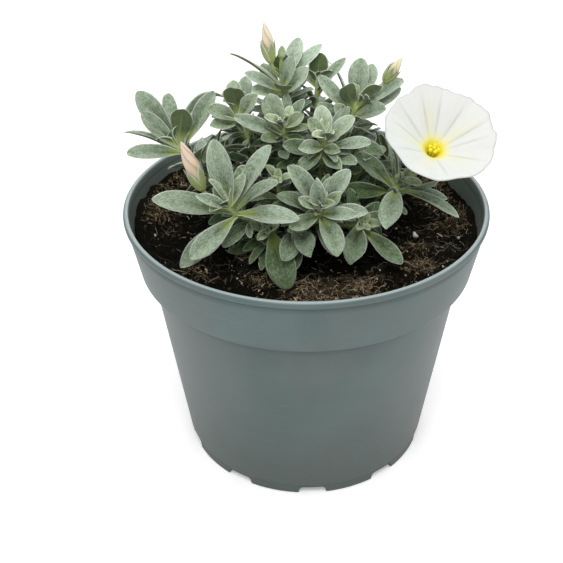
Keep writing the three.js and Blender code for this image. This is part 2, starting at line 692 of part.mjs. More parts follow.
// Bloom: one funnel, with five lobes at its edge and ten pleats down to the throat
const BLOOM_PROFILE = [
  [0.085, 0.12],
  [0.105, 0.3],
  [0.17, 0.44],
  [0.34, 0.55],
  [0.68, 0.8],
  [1.0, 1.0],
];

function bloomPoint(frame, angle, row, wall) {
  const [share, level] = BLOOM_PROFILE[row];
  const open = Math.max(0, (share - 0.17) / 0.83);
  const lobes = 1 + 0.025 * open * Math.cos(5 * angle);
  const pleat = 0.5 * open * Math.cos(10 * angle);
  return onFrame(frame, angle, share * BLOOM_RADIUS * lobes - wall[0], level * BLOOM_DEPTH + pleat + wall[1]);
}

function makeBloom(frame) {
  const outer = [];
  const inner = [];
  BLOOM_PROFILE.forEach(([share], row) => {
    const tube = share < 0.2;
    const wall = tube ? [BLOOM_WALL, 0.1] : [0.3 * BLOOM_WALL, BLOOM_WALL];
    const outerRing = [];
    const innerRing = [];
    for (let i = 0; i < BLOOM_SIDES; i += 1) {
      const angle = (i * 2 * Math.PI) / BLOOM_SIDES;
      outerRing.push(bloomPoint(frame, angle, row, [0, 0]));
      innerRing.push(bloomPoint(frame, angle, row, wall));
    }
    outer.push(outerRing);
    inner.unshift(innerRing);
  });
  const low = BLOOM_PROFILE[0][1] * BLOOM_DEPTH;
  const start = onFrame(frame, 0, 0, low - 0.6);
  const end = onFrame(frame, 0, 0, low + 0.3);
  return toSolid(loft([...outer, ...inner], start, end));
}

// Stamens and style, one yellow bunch from the bottom of the throat
function makeStamens(frame) {
  const low = BLOOM_PROFILE[0][1] * BLOOM_DEPTH + 0.6 + SEAT_GAP;
  const rod = (angle, reach, top, thick, head) => {
    const foot = onFrame(frame, angle, 0.2 * reach, low);
    const tip = onFrame(frame, angle, reach, top);
    const neck = foot.clone().lerp(tip, 0.72);
    const rings = ringsAlong([foot, neck, tip], [thick, head, 0.7 * head], ROD_SIDES);
    return toSolid(loft(rings, foot, tip));
  };
  let bunch = rod(0, 0, 12.6, 0.5, 0.8);
  for (let i = 0; i < 5; i += 1) {
    const angle = ((i + 0.5) * 2 * Math.PI) / 5;
    bunch = bunch.add(rod(angle, 1.7, 11.2 + 0.5 * (i % 3), 0.4, 0.75));
  }
  return bunch;
}

function bloomSamples(frame) {
  const samples = [];
  for (let row = 2; row < BLOOM_PROFILE.length; row += 1) {
    for (let i = 0; i < BLOOM_SIDES; i += 1) {
      samples.push(bloomPoint(frame, (i * 2 * Math.PI) / BLOOM_SIDES, row, [0, 0]));
    }
  }
  return samples;
}

function finish(colour, roughness) {
  return new THREE.MeshStandardMaterial({ color: colour, roughness, metalness: 0 });
}

const plant = new THREE.Group();

function addPiece(name, solid, material) {
  const mesh = new THREE.Mesh(toGeometry(solid), material);
  mesh.name = name;
  plant.add(mesh);
}

const bloomFrame = frameAt(BLOOM.base, BLOOM.aim);
for (const bud of [...BUDS, YOUNG_BUD]) {
  bud.frame = frameAt(bud.base, bud.aim);
}

const obstacles = [];
for (const shoot of SHOOTS) {
  for (const point of stemSamples(shoot)) {
    obstacles.push({ point, keep: STEM_CLEARANCE, shoot: shoot.name });
  }
}
for (const point of bloomSamples(bloomFrame)) {
  obstacles.push({ point, keep: 3.2, shoot: BLOOM.shoot, bloom: true });
}
for (const bud of [...BUDS, YOUNG_BUD]) {
  for (let share = 0; share <= 1; share += 0.125) {
    const point = onFrame(bud.frame, 0, 0, share * bud.length);
    const keep = share < 0.2 ? 2.5 : bud.radius + 2;
    obstacles.push({ point, keep, shoot: bud.shoot, bloom: true });
  }
}

const leaves = placeLeaves(obstacles);

addPiece("pot", makePot(), finish(POT_COLOUR, 0.5));
addPiece("soil", makeSoil(SHOOTS), finish(SOIL_COLOUR, 1));

const leafFinish = finish(LEAF_COLOUR, 0.75);
for (const shoot of SHOOTS) {
  let body = makeStem(shoot);
  for (const leaf of leaves[shoot.name]) {
    body = body.add(makeLeaf(leaf));
  }
  if (shoot.name === BLOOM.shoot) {
    body = body.add(makeStalk(shoot, bloomFrame)).add(makeCalyx(bloomFrame, BLOOM_CALYX_RADIUS, BLOOM_CALYX_HEIGHT));
  }
  for (const bud of BUDS.filter((each) => each.shoot === shoot.name)) {
    body = body.add(makeStalk(shoot, bud.frame)).add(makeCalyx(bud.frame, bud.radius, 0.5 * bud.length));
  }
  if (shoot.name === YOUNG_BUD.shoot) {
    body = body.add(makeStalk(shoot, YOUNG_BUD.frame)).add(makeYoungBud(YOUNG_BUD));
  }
  addPiece(shoot.name, body, leafFinish);
}

addPiece("bloom", makeBloom(bloomFrame), finish(BLOOM_COLOUR, 0.6));
addPiece("stamens", makeStamens(bloomFrame), finish(STAMEN_COLOUR, 0.7));
for (const bud of BUDS) {
  addPiece(bud.name, makeBud(bud), finish(BUD_COLOURS[bud.name], 0.6));
}

export default plant;
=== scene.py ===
import math

import bmesh
import bpy
import numpy as np
from mathutils import Matrix, Vector, noise


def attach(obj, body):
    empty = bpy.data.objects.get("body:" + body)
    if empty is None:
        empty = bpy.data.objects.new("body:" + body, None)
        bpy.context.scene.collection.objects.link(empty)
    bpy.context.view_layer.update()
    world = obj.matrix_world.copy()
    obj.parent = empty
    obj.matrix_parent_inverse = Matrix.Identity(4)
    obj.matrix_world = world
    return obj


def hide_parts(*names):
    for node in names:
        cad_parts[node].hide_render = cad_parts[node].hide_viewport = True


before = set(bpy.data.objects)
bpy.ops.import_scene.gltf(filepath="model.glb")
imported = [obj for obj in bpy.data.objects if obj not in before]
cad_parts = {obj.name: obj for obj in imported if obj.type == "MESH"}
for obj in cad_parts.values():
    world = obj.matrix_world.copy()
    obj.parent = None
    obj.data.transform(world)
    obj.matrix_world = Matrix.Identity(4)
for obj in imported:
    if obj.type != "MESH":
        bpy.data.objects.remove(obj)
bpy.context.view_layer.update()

# Millimetres throughout, scaled to metres when a mesh is made
MM = 0.001
DEG = math.pi / 180
UP = np.array([0.0, 0.0, 1.0])

# Named values of the pot, the soil and the plant, nearly all as the frame has them
SEAT_GAP = 0.3
POT_HEIGHT = 130.5
POT_RIM_RADIUS = 85
POT_FOOT_RADIUS = 60
POT_WALL = 1.3
LIP_WIDTH = 2.75
LIP_ROUNDING = 0.8
BAND_BOTTOM = 101.6
BAND_BOTTOM_RADIUS = 79.1
BODY_TOP_RADIUS = 74.2
FOOT_RING_HEIGHT = 6
FOOT_RING_WIDTH = 4.5
BASE_RECESS = 3.5
NOTCH_COUNT = 10
NOTCH_WIDTH = 13
NOTCH_HEIGHT = 3.9
NOTCH_CORNER = 2.2
FIRST_NOTCH_DEG = -86.4
DRAIN_COUNT = 5
DRAIN_RADIUS = 3.6
DRAIN_CIRCLE_RADIUS = 44
BODY_FOOT_RADIUS = POT_FOOT_RADIUS + 0.9
FLOOR_TOP = BASE_RECESS + POT_WALL + 0.2
SOIL_LEVEL = 113.5
STEM_DEPTH = 12
STEM_FOOT_RADIUS = 1.6
STEM_TIP_RADIUS = 1.0
STALK_RADIUS = 0.75
LEAF_LENGTH = 31
SHORTEST_LEAF = 6
LISTED_BEND = 9
EDGE_ON_WIDTH = 5
YOUNG_SPREAD = (14, 78)
LOW_SPREAD = (56, 80)
LOW_LEAF_LENGTH = 21
LOW_LEAVES_START = 10
LOW_LEAVES_REACH = 26
BLOOM_RADIUS = 24.6
BLOOM_DEPTH = 23
BLOOM_CALYX_RADIUS = 4.1
BLOOM_CALYX_HEIGHT = 7.5
GOLDEN_ANGLE = 137.508
VIEW_HEIGHT = 34 * DEG
VIEW_RIGHT = np.array([1.0, 0.0, 0.0])
VIEW_UP = np.array([0.0, math.sin(VIEW_HEIGHT), math.cos(VIEW_HEIGHT)])
VIEW_NEAR = np.array([0.0, -math.cos(VIEW_HEIGHT), math.sin(VIEW_HEIGHT)])
LEAF_CLEARANCE = 2.5
OWN_LEAF_CLEARANCE = 1.8
STEM_CLEARANCE = 2.8
BLOOM_CLEARANCE = 3.2
SOIL_CLEARANCE = 2.2
INSIDE_POT_RADIUS = 75
SPREAD_LIMIT = 84

# To find room, a leaf may shrink and turn, in degrees: a listed one towards the view, others round the stem
SHRINKS = (1, 0.82, 0.66)
LEAN_CHANGES = (0, 7, -7, 14, -14, 21, -21, 28)
TURN_CHANGES = (0, 16, -16, 32, -32, 48, -48, 64, -64, 80, -80)

# Shoots: name, foot of the stem, rosette's centre, its axis as azimuth and elevation, young leaves,
# their longest, low leaves, and the listed leaves [clock, lean, length, width, bend]
SHOOTS = [
    ("shoot_front_left", (-15, -14), (-33.5, -38, 148.5), (-140, 56), 3, 12, 3, [
        (-33, 43, 17.5, 4.5), (26, 28, 17.5, 5.5), (-69, 48, 22, 5), (-13, 27, 33, 10.5), (31, 20, 34, 8.5),
        (58, 31, 28.5, 7.5), (-82, 25, 38, 10.5), (96, 29, 31, 9), (-135, 27, 30.5, 9.5),
        (-132, 8, 34.5, 9.5)]),
    ("shoot_front", (2, -17), (6.5, -40, 149), (-88, 62), 3, 8, 3, [
        (-70, 45, 14.5, 5), (53, 42, 14.5, 5.5), (-11, 42, 20.5, 7), (-35, 32, 26.5, 8), (35, 34, 25, 8.5),
        (94, 44, 20.5, 6), (-116, 58, 18, 7), (87, 34, 24, 7), (155, 56, 28, 9.5)]),
    ("shoot_low_front_left", (-14, -20), (-15.5, -31, 132.5), (-112, 34), 4, 16, 0, [
        (163, 22, 29, 13), (-20, 4, 14, 8)]),
    ("shoot_low_front", (-1, -10), (-4, -29, 133), (-88, 34), 4, 14, 0, [
        (-161, 45, 22.5, 9), (152, 50, 25, 9), (-178, 38, 21, 8)]),
    ("shoot_low_right", (11, -9), (24, -24, 131), (-62, 38), 3, 18, 0, [
        (-168, 45, 25, 10.5), (132, 24, 28, 8, 1)]),
    ("shoot_bloom", (18, -2), (42, -8, 142.5), (-38, 55), 3, 13, 4, [
        (-11, 40, 23.5, 4), (-163, 50, 33, 10.5), (116, 28, 34, 6.5), (-51, 30, 27, 8.5), (100, 28, 26, 5.5),
        (-90, 33, 27, 7.5), (79, 30, 25, 4.5)]),
    ("shoot_middle_right", (5, -5), (8, -15, 168.5), (-84, 70), 3, 9, 6, [
        (61, 45, 10.5, 5), (-38, 40, 15, 6.5), (-6, 38, 17.5, 8), (47, 38, 18.5, 7), (-99, 52, 18, 6.5),
        (105, 55, 12, 5), (82, 35, 22, 6.5), (-83, 30, 20.5, 7), (138, 50, 16.5, 6.5), (-114, 42, 14, 6.5)]),
    ("shoot_middle_left", (-8, -2), (-10, -6, 170), (-108, 74), 3, 9, 6, [
        (61, 40, 13.5, 6), (-26, 30, 18.5, 9.5), (86, 52, 14.5, 5.5), (-74, 28, 25, 6.5), (106, 48, 17, 6.5),
        (-104, 50, 15.5, 6.5), (25, 15, 20, 6)]),
    ("shoot_upper_right", (12, 6), (23, 5, 176), (-25, 66), 3, 11, 7, [
        (4, 20, 21.5, 9.5), (22, 0, 21.5, 7), (53, 52, 21, 7), (-27, 57, 17.5, 8), (55, 15, 27.5, 6.5),
        (-21, -12, 29.5, 4.5), (-41, 15, 24, 6.5), (59, 20, 27, 6), (78, 42, 20.5, 8.5), (-47, 40, 12, 6.5)]),
    ("shoot_top", (-2, 6), (-11, 10, 186), (165, 84), 3, 10, 7, [
        (-8, 51, 14.5, 8.5), (23, 10, 21.5, 7.5), (45, 5, 25.5, 6), (-57, 8, 28, 4), (23, 38, 20, 6.5),
        (9, 60, 12, 8), (-66, 30, 21, 6), (47, 45, 19, 7), (-81, 45, 16, 6.5), (-33, 20, 19, 6)]),
    ("shoot_top_right", (5, 13), (5, 15, 181), (70, 80), 7, 20, 7, [
        (4, 48, 14, 8), (-38, 34, 11.5, 6.5), (43, 5, 20, 5)]),
    ("shoot_left", (-20, 0), (-58, -2, 160), (174, 58), 3, 12, 4, [
        (15, 45, 19, 9.5), (-14, -10, 26.5, 7), (-37, 15, 32, 10), (-47, 26, 25.5, 7.5), (-71, 10, 28.5, 4.5),
        (-93, 20, 27.5, 7.5)]),
    ("shoot_left_back", (-17, 9), (-56.5, 12, 154), (120, 66), 6, 14, 4, [
        (41, 8, 36, 6, 58), (31, 20, 30, 8, 20)]),
    ("shoot_upper_left", (-11, 7), (-31, 5, 172.5), (160, 74), 3, 13, 6, [
        (-8, 56, 15, 9), (-9, 12, 16, 7.5), (10, 8, 19.5, 7), (45, 40, 18, 7.5), (-72, 35, 17.5, 7.5),
        (-98, 30, 15.5, 6.5), (25, 25, 16, 7)]),
    ("shoot_inner_left", (-14, -6), (-22, -15, 149), (-140, 66), 10, LEAF_LENGTH, 2, []),
    ("shoot_inner_right", (14, 2), (27, -2, 151), (-50, 64), 10, LEAF_LENGTH, 3, []),
    ("shoot_inner_front", (-8, -18), (-12, -25, 151), (-95, 66), 9, LEAF_LENGTH, 2, []),
    ("shoot_middle_back", (-14, 3), (-27, -2, 152), (-170, 70), 9, LEAF_LENGTH, 2, []),
    ("shoot_back_left", (-17, 16), (-42, 34, 138), (135, 50), 12, LEAF_LENGTH, 0, []),
    ("shoot_back", (-6, 18), (-12, 38, 152), (100, 62), 12, LEAF_LENGTH, 2, []),
    ("shoot_back_right", (10, 18), (20, 37, 150), (62, 60), 12, LEAF_LENGTH, 2, []),
    ("shoot_right_back", (20, 9), (44, 20, 143), (28, 52), 12, LEAF_LENGTH, 0, []),
    ("shoot_low_back", (2, 24), (4, 55, 136), (88, 42), 12, LEAF_LENGTH, 0, []),
    ("shoot_low_back_left", (-10, 24), (-26, 53, 132), (116, 40), 10, LEAF_LENGTH, 0, []),
    ("shoot_low_back_right", (15, 21), (36, 46, 132), (54, 40), 10, LEAF_LENGTH, 0, []),
]
FIELDS = ("name", "foot", "tip", "aim", "young", "longest", "low", "leaves")
SHOOTS = [dict(zip(FIELDS, shoot)) for shoot in SHOOTS]

BLOOM = {"shoot": "shoot_bloom", "base": (55.2, -3.8, 152.1), "aim": (-74, 60)}
BUDS = [
    {"name": "bud_front", "shoot": "shoot_front_left", "base": (-44, -36, 156), "aim": (168, 69),
     "length": 23, "radius": 3.9, "sepals": 0.52},
    {"name": "bud_top", "shoot": "shoot_top", "base": (-15.1, 0, 198.8), "aim": (160, 80),
     "length": 17.4, "radius": 3.1, "sepals": 0.62},
    {"name": "bud_right", "shoot": "shoot_upper_right", "base": (35, 8, 186), "aim": (10, 56),
     "length": 13, "radius": 2.7, "sepals": 0.75},
]
YOUNG_BUD = {"shoot": "shoot_top", "base": (-10.7, 2, 199.5), "aim": (-60, 82), "length": 6, "radius": 1.8}
YOUNG_BUD_SHAPE = [(0.5, 0.02), (0.8, 0.12), (0.95, 0.25), (1, 0.4), (0.92, 0.56), (0.7, 0.75), (0.4, 0.9)]

# The bloom's radius and height as shares of its own, in the frame and here, and the share where its tube ends
TUBE_SHARE = 0.17
BLOOM_PROFILE = [(0.085, 0.12), (0.105, 0.3), (0.17, 0.44), (0.34, 0.55), (0.68, 0.8), (1.0, 1.0)]
FINE_BLOOM_PROFILE = [(0.085, 0.12), (0.13, 0.3), (0.21, 0.44), (0.35, 0.55), (0.68, 0.8), (1.0, 1.0)]
BLOOM_FOOT = BLOOM_PROFILE[0][1] * BLOOM_DEPTH
STAMEN_COUNT = 5

# A bud's radius against its height, as shares of its own radius and length, and its sepals
BUD_SHAPE = [(0.2, 0.0), (0.5, 0.07), (0.78, 0.17), (0.94, 0.29), (1.0, 0.42), (0.98, 0.53), (0.88, 0.63),
             (0.73, 0.73), (0.55, 0.82), (0.38, 0.9), (0.22, 0.96), (0.07, 0.995)]
FINE_BUD = 0.86
SEPAL_SPREAD = 50
SEPAL_ROWS = np.array([0.0, 0.08, 0.18, 0.3, 0.42, 0.54, 0.65, 0.75, 0.84, 0.91, 0.96, 0.99])
SEPAL_ACROSS = np.array([-1, -0.7, -0.35, 0, 0.35, 0.7, 1])

# The camera that the object's outlines were fitted with, where the lamps are aimed, and the backdrop
CAMERA_PLACE = (0.0, -429.15, 372.4)
CAMERA_RIGHT = (0.99974, 0.02067, -0.01007)
CAMERA_UP = (-0.00316, 0.55724, 0.83034)
CAMERA_LENS = 67.2
SENSOR_WIDTH = 36
LIT_PLACE = (0, 0, 0.12)
FLOOR_REACH = 4000
WORLD_STRENGTH = 0.5
FLOOR_GLOW = 0.3

# How finely the round shapes are faceted
POT_SIDES = 192
SOIL_SIDES = 220
BLOOM_SIDES = 240
BUD_SIDES = 90
CUP_SIDES = 20
STEM_SIDES = 10

# What is strewn over the soil, in number or, where it lies in coir patches, to the square of their reach
LOOSE_REACH = 77
CRUMB_COUNT = 2600
CLOD_COUNT = 130
ROOT_COUNT = 500
CHIP_COUNT = 80
PERLITE_COUNT = 420
FIBRE_STEPS = 7
COIR_SPREAD = 0.55
COIR_DENSITY = 1.3
COIR_CRUMB_DENSITY = 1.8
SHRED_DENSITY = 0.3

# Sticks from end to end, the coir patches with their reach, and the largest white grains with their size
STICKS = [((-60, -37), (-50, -44)), ((-44, -46), (-38, -41)), ((-35, -42), (-35, -50)),
          ((-18, -46), (-21, -52))]
COIR_PATCHES = [(4, -55, 14), (21, -48, 12), (-20, -43, 6), (-28, -25, 4), (-72, 6, 7), (-73, 24, 12),
                (-62, 44, 14), (64, 36, 15), (70, 4, 11), (52, -32, 9), (-48, -40, 6), (50, -14, 7)]
PERLITE_SPOTS = [(51.6, -4, 1.95), (71, -11, 0.75), (-70, -12, 0.75), (13, -62, 0.75), (-8, -64, 0.75),
                 (-48, 52, 0.75)]

# Peat banked up against the wall, and how the wall inside the band leans out
BANK_START = 52
BANK_HEIGHT = 6
HEAP = (-68, 34)
HEAP_HEIGHT = 5
HEAP_REACH = 34
WALL_AT_SOIL = 79
INNER_LEAN = POT_RIM_RADIUS - LIP_WIDTH - BAND_BOTTOM_RADIUS + POT_WALL
WALL_SLOPE = INNER_LEAN / (POT_HEIGHT - LIP_ROUNDING - BAND_BOTTOM - POT_WALL)

# Hairs on the leaf margins, and the small leaves in the middle of a rosette
HAIRS_PER_MM = 4
HAIR_LENGTH = 0.8
HAIR_WIDTH = 0.025
SPIKE = np.array([[0, 1, 2], [0, 3, 1], [1, 3, 2], [2, 3, 0]])
HEART_LEAVES = 9
# Heights over which leaves go from green and darker to silver and lighter: partly real, partly painted light
# on the upper leaves
LOW_GREEN_AND_SHADED = 130
HIGH_SILVER_AND_LIT = 190
EDGE_ON_ROLL = 62 * DEG
BACK_GROWTH = 1.12

# The bush as an ellipsoid, its painted shade by depth and near the soil, and the small leaves that fill it
BUSH_CENTRE = np.array([-5, 2, 124])
BUSH_REACH = np.array([62, 54, 74])
SHADE_REACH = np.array([62, 52, 65])
SHADE_EDGE = 0.88
SHADE_DEPTH = 0.35
LOW_SHADE = 0.7
LOW_SHADE_TOP = 136
LOW_SHADE_DEPTH = 20
FILLER_TRIES = 80
FILLER_REACH = 0.88
FILLER_CLEARANCE = 1.0

# Where creases run down the bloom, in degrees round it from its top, and the waves of its edge: depth, number
# and turn
BLOOM_CREASES_DEG = [6, 39, 60, 100, 172, 222, 258, 278, 310, 341]
EDGE_SCALLOPS = [(0.16, 3, 0.7), (0.22, 7, 2.0), (0.2, 13, 0), (0.12, 29, 2)]


def unit(vector):
    return vector / np.linalg.norm(vector)


def between(ends, share):
    return ends[0] + (ends[1] - ends[0]) * share


def random_stream(seed):
    state = (seed * 7919 + 12345) % 2**32

    def draw():
        nonlocal state
        state = (state * 1664525 + 1013904223) % 2**32
        return state / 2**32

    return draw


def aimed(aim):
    azimuth, elevation = aim[0] * DEG, aim[1] * DEG
    flat = math.cos(elevation)
    return np.array([flat * math.cos(azimuth), flat * math.sin(azimuth), math.sin(elevation)])


def side_of(axis, hint):
    return unit(hint - axis * np.dot(hint, axis))


def leaning(axis, turn, spread):
    """A direction that leaves an axis by an angle, turned round it from the side that is up."""
    first = side_of(axis, UP)
    second = np.cross(axis, first)
    return axis * math.cos(spread) + (first * math.cos(turn) + second * math.sin(turn)) * math.sin(spread)


def soil_height(x, y):
    broad = 1.1 * np.sin(0.071 * x + 0.9) * np.cos(0.083 * y - 0.4)
    small = 0.7 * np.sin(0.21 * x - 0.17 * y) + 0.5 * np.cos(0.33 * y + 0.12 * x)
    mound = 1.6 * np.exp(-(x * x + y * y) / 900)
    return SOIL_LEVEL + broad + small + mound


# Curves: cubic, with the length along them measured on 200 short chords
def cubic(ends, share):
    t = np.asarray(share, float)[..., None]
    a, b, c, d = ends
    return a * (1 - t) ** 3 + 3 * b * t * (1 - t) ** 2 + 3 * c * t**2 * (1 - t) + d * t**3


def stem_bend(shoot):
    x, y = shoot["foot"]
    start = np.array([x, y, soil_height(x, y) + 2])
    tip = np.array(shoot["tip"], float)
    reach = np.linalg.norm(tip - start)
    riser = start + UP * 0.4 * reach
    neck = tip - aimed(shoot["aim"]) * 0.45 * reach
    return start, riser, neck, tip


def point_along(ends, share_of_length):
    shares = np.linspace(0, 1, 201)
    points = cubic(ends, shares)
    lengths = np.concatenate([[0], np.cumsum(np.linalg.norm(np.diff(points, axis=0), axis=1))])
    return cubic(ends, np.interp(share_of_length * lengths[-1], lengths, shares)), lengths[-1]


def along_stem(shoot, down):
    ends = stem_bend(shoot)
    whole = point_along(ends, 1)[1]
    return point_along(ends, max(1 - down / whole, 0.12))[0]


# Leaves. An outline is the power that moves the widest place outwards, and the fullness there.
FRAME_OUTLINE = (1.6, 0.75)


def half_width(leaf, s):
    power, fullness = leaf.get("outline", FRAME_OUTLINE)
    blade = np.maximum(np.sin(np.pi * s**power), 0) ** fullness
    return leaf["width"] / 2 * np.maximum(blade, 0.2 * (1 - s))


def leaf_points(leaf, s, across, lift=0.0, cup=np.abs):
    """Points of a leaf by their share of its length and, from -1 to 1, of its width."""
    s, across = np.broadcast_arrays(np.asarray(s, float), np.asarray(across, float))
    bend, length = leaf["bend"], leaf["length"]
    turn = bend * (2 * s - 1)
    ahead = length * (np.sin(turn) + math.sin(bend)) / (2 * bend)
    rise = length * (np.cos(turn) - math.cos(bend)) / (2 * bend)
    half = half_width(leaf, s)
    along, face, side = leaf["along"], leaf["face"], leaf["side"]
    facing = face * np.cos(turn)[..., None] + along * np.sin(turn)[..., None]
    raised = leaf["fold"] * cup(across) * half + lift
    return (
        leaf["base"]
        + along * ahead[..., None]
        + face * rise[..., None]
        + side * (across * half)[..., None]
        + facing * raised[..., None]
    )


# Where on a leaf its distance from other things is measured
SAMPLE_S = np.repeat(np.arange(1, 13) / 12, 5)
SAMPLE_ACROSS = np.tile([-1, -0.5, 0, 0.5, 1], 12)
MIDDLE_SAMPLE = 27
OUTER_HALF = SAMPLE_S >= 0.5


def sampled(leaf):
    return leaf_points(leaf, SAMPLE_S, SAMPLE_ACROSS)


def aim_leaf(base, along, facing, length, width, bend, fold):
    face = side_of(along, facing)
    side = np.cross(along, face)
    return {"base": base, "along": along, "face": face, "side": side, "length": length, "width": width,
            "bend": bend, "fold": fold}


def listed_leaf(shoot, order, lean_change, shrink, chance):
    clock, lean, length, width, *rest = shoot["leaves"][order]
    bend = rest[0] if rest else LISTED_BEND
    out = (lean + lean_change) * DEG
    flat = math.cos(out)
    along = (
        VIEW_RIGHT * flat * math.sin(clock * DEG)
        + VIEW_UP * flat * math.cos(clock * DEG)
        + VIEW_NEAR * math.sin(out)
    )
    turned_away = lean >= 50 and abs(clock) < 90
    facing = aimed(shoot["aim"])
    if not (turned_away or bend > 30):
        facing = VIEW_NEAR + facing * 0.35
    base = along_stem(shoot, 0.5 + order)
    return aim_leaf(base, along, facing, shrink * length, shrink * width, bend * DEG, chance["fold"])


def ruled_leaf(shoot, order, turn_change, shrink, chance):
    """A young leaf of the rosette, or a low leaf further down the stem."""
    if order < shoot["young"]:
        share = order / (shoot["young"] - 1)
        spread = between(YOUNG_SPREAD, share**0.8)
        full = between((SHORTEST_LEAF, shoot["longest"]), share**0.6)
        down = 0.6 + 0.85 * shoot["longest"] * share
    else:
        share = (order - shoot["young"] + 0.5) / shoot["low"]
        spread = between(LOW_SPREAD, share)
        full = LOW_LEAF_LENGTH
        down = LOW_LEAVES_START + LOW_LEAVES_REACH * share
    axis = aimed(shoot["aim"])
    turn = (chance["spin"] + GOLDEN_ANGLE * order + chance["jitter"] + turn_change) * DEG
    along = leaning(axis, turn, (spread + chance["spread"]) * DEG)
    length = shrink * full * chance["length"]
    width = length * (0.33 - 0.04 * share) * chance["width"]
    return aim_leaf(along_stem(shoot, down), along, axis, length, width, chance["bend"], chance["fold"])


def distances(first, second):
    """Distances between two sets of points."""
    square = (first**2).sum(axis=1)[:, None] + (second**2).sum(axis=1) - 2 * first @ second.T
    return np.sqrt(np.maximum(square, 0))


def is_clear(points, reach, own, keep_off):
    x, y, z = points.T
    in_soil = (z < soil_height(x, y) + SOIL_CLEARANCE) & (SAMPLE_S > 0.3)
    in_lip = (z < POT_HEIGHT + 2.5) & (np.hypot(x, y) > INSIDE_POT_RADIUS)
    if np.any(in_soil | in_lip) or np.max(np.abs(points[:, :2])) > SPREAD_LIMIT:
        return False
    middle = points[MIDDLE_SAMPLE]
    near = np.linalg.norm(OBSTACLES["points"] - middle, axis=1) < reach + OBSTACLES["keep"]
    near &= (OBSTACLES["owner"] != own) | OBSTACLES["bloom"]
    if np.any(distances(points, OBSTACLES["points"][near]) < OBSTACLES["keep"][near]):
        return False
    for other in PLACED:
        if np.linalg.norm(other["middle"] - middle) > other["reach"] + reach + LEAF_CLEARANCE:
            continue
        mine, theirs, keep = points, other["points"], LEAF_CLEARANCE
        if other["shoot"] == own:
            mine, theirs, keep = points[OUTER_HALF], theirs[OUTER_HALF], OWN_LEAF_CLEARANCE
        if distances(mine, theirs).min() < (keep_off or keep):
            return False
    return True


def finds_room(leaf, own, keep_off=None):
    """Places a leaf if it is clear of the soil, the lip, stems, buds, the bloom and earlier leaves."""
    points = sampled(leaf)
    reach = 0.55 * leaf["length"] + leaf["width"]
    room = is_clear(points, reach, own, keep_off)
    if room:
        PLACED.append({"shoot": own, "points": points, "middle": points[MIDDLE_SAMPLE], "reach": reach})
    return room


def fit_leaf(shoot, maker, order, changes, chance):
    """The leaf at its full size or a smaller one, turned by the first of the changes that finds room."""
    for shrink in SHRINKS:
        for change in changes:
            leaf = maker(shoot, order, change, shrink, chance)
            if finds_room(leaf, shoot["name"]):
                return leaf
    return None


def depth_in_bush(point):
    """How much painted shade a leaf gets: 0 on the outside of the bush, 1 well inside it or low down near the
    soil.
    """
    away = (point - BUSH_CENTRE) / SHADE_REACH
    inside = np.clip((SHADE_EDGE - np.linalg.norm(away)) / SHADE_DEPTH, 0, 1)
    low = LOW_SHADE * np.clip((LOW_SHADE_TOP - point[2]) / LOW_SHADE_DEPTH, 0, 1)
    return float(max(inside, low))


def place_leaves():
    leaves = {shoot["name"]: [] for shoot in SHOOTS}
    for number, shoot in enumerate(SHOOTS):
        draw = random_stream(number + 1)
        for order, (clock, lean, _, width, *_) in enumerate(shoot["leaves"]):
            chance = {"fold": 0.12 + 0.2 * draw()}
            leaf = fit_leaf(shoot, listed_leaf, order, LEAN_CHANGES, chance)
            if leaf:
                leaf["youth"] = float(np.clip((20 - leaf["length"]) / 20, 0, 0.25))
                leaf["shows_back"] = lean >= 45 and abs(clock) <= 30 and width >= 8
                leaf["edge_on"] = width < EDGE_ON_WIDTH
                leaves[shoot["name"]].append(leaf)
    for number, shoot in enumerate(SHOOTS):
        draw = random_stream(number + 101)
        spin = 360 * draw()
        for order in range(shoot["young"] + shoot["low"]):
            chance = {"spin": spin, "jitter": 24 * (draw() - 0.5), "spread": 12 * (draw() - 0.5),
                      "length": 0.9 + 0.2 * draw(), "width": 0.9 + 0.2 * draw(),
                      "bend": (4 + 14 * draw()) * DEG, "fold": 0.12 + 0.2 * draw()}
            leaf = fit_leaf(shoot, ruled_leaf, order, TURN_CHANGES, chance)
            if leaf:
                leaf["youth"] = float(np.clip(1.1 - 0.1 * leaf["length"], 0, 1)) * (order < shoot["young"])
                leaves[shoot["name"]].append(leaf)
    for leaf in sum(leaves.values(), []):
        leaf["shade"] = depth_in_bush(leaf_points(leaf, 0.6, 0.0))
    return leaves


# Calyces, buds and the bloom stand on frames of their own
def frame_at(base, aim):
    axis = aimed(aim)
    across = side_of(axis, UP)
    return {"base": np.array(base, float), "axis": axis, "across": across, "other": np.cross(axis, across)}


def on_frame(place, angle, radius, height):
    angle, radius, height = np.broadcast_arrays(angle, radius, height)
    return (
        place["base"]
        + place["across"] * (radius * np.cos(angle))[..., None]
        + place["other"] * (radius * np.sin(angle))[..., None]
        + place["axis"] * height[..., None]
    )


def on_axis(place, height):
    return place["base"] + place["axis"] * height


def ring_angles(count):
    return np.arange(count) * 2 * np.pi / count


def cad_bloom_points(place):
    """The points of the bloom that the leaves were kept clear of."""
    angle = ring_angles(40)
    rings = []
    for share, level in BLOOM_PROFILE[2:]:
        wide = max(0, (share - TUBE_SHARE) / (1 - TUBE_SHARE))
        radius = share * BLOOM_RADIUS * (1 + 0.025 * wide * np.cos(5 * angle))
        rings.append(on_frame(place, angle, radius, level * BLOOM_DEPTH + 0.5 * wide * np.cos(10 * angle)))
    return np.concatenate(rings)


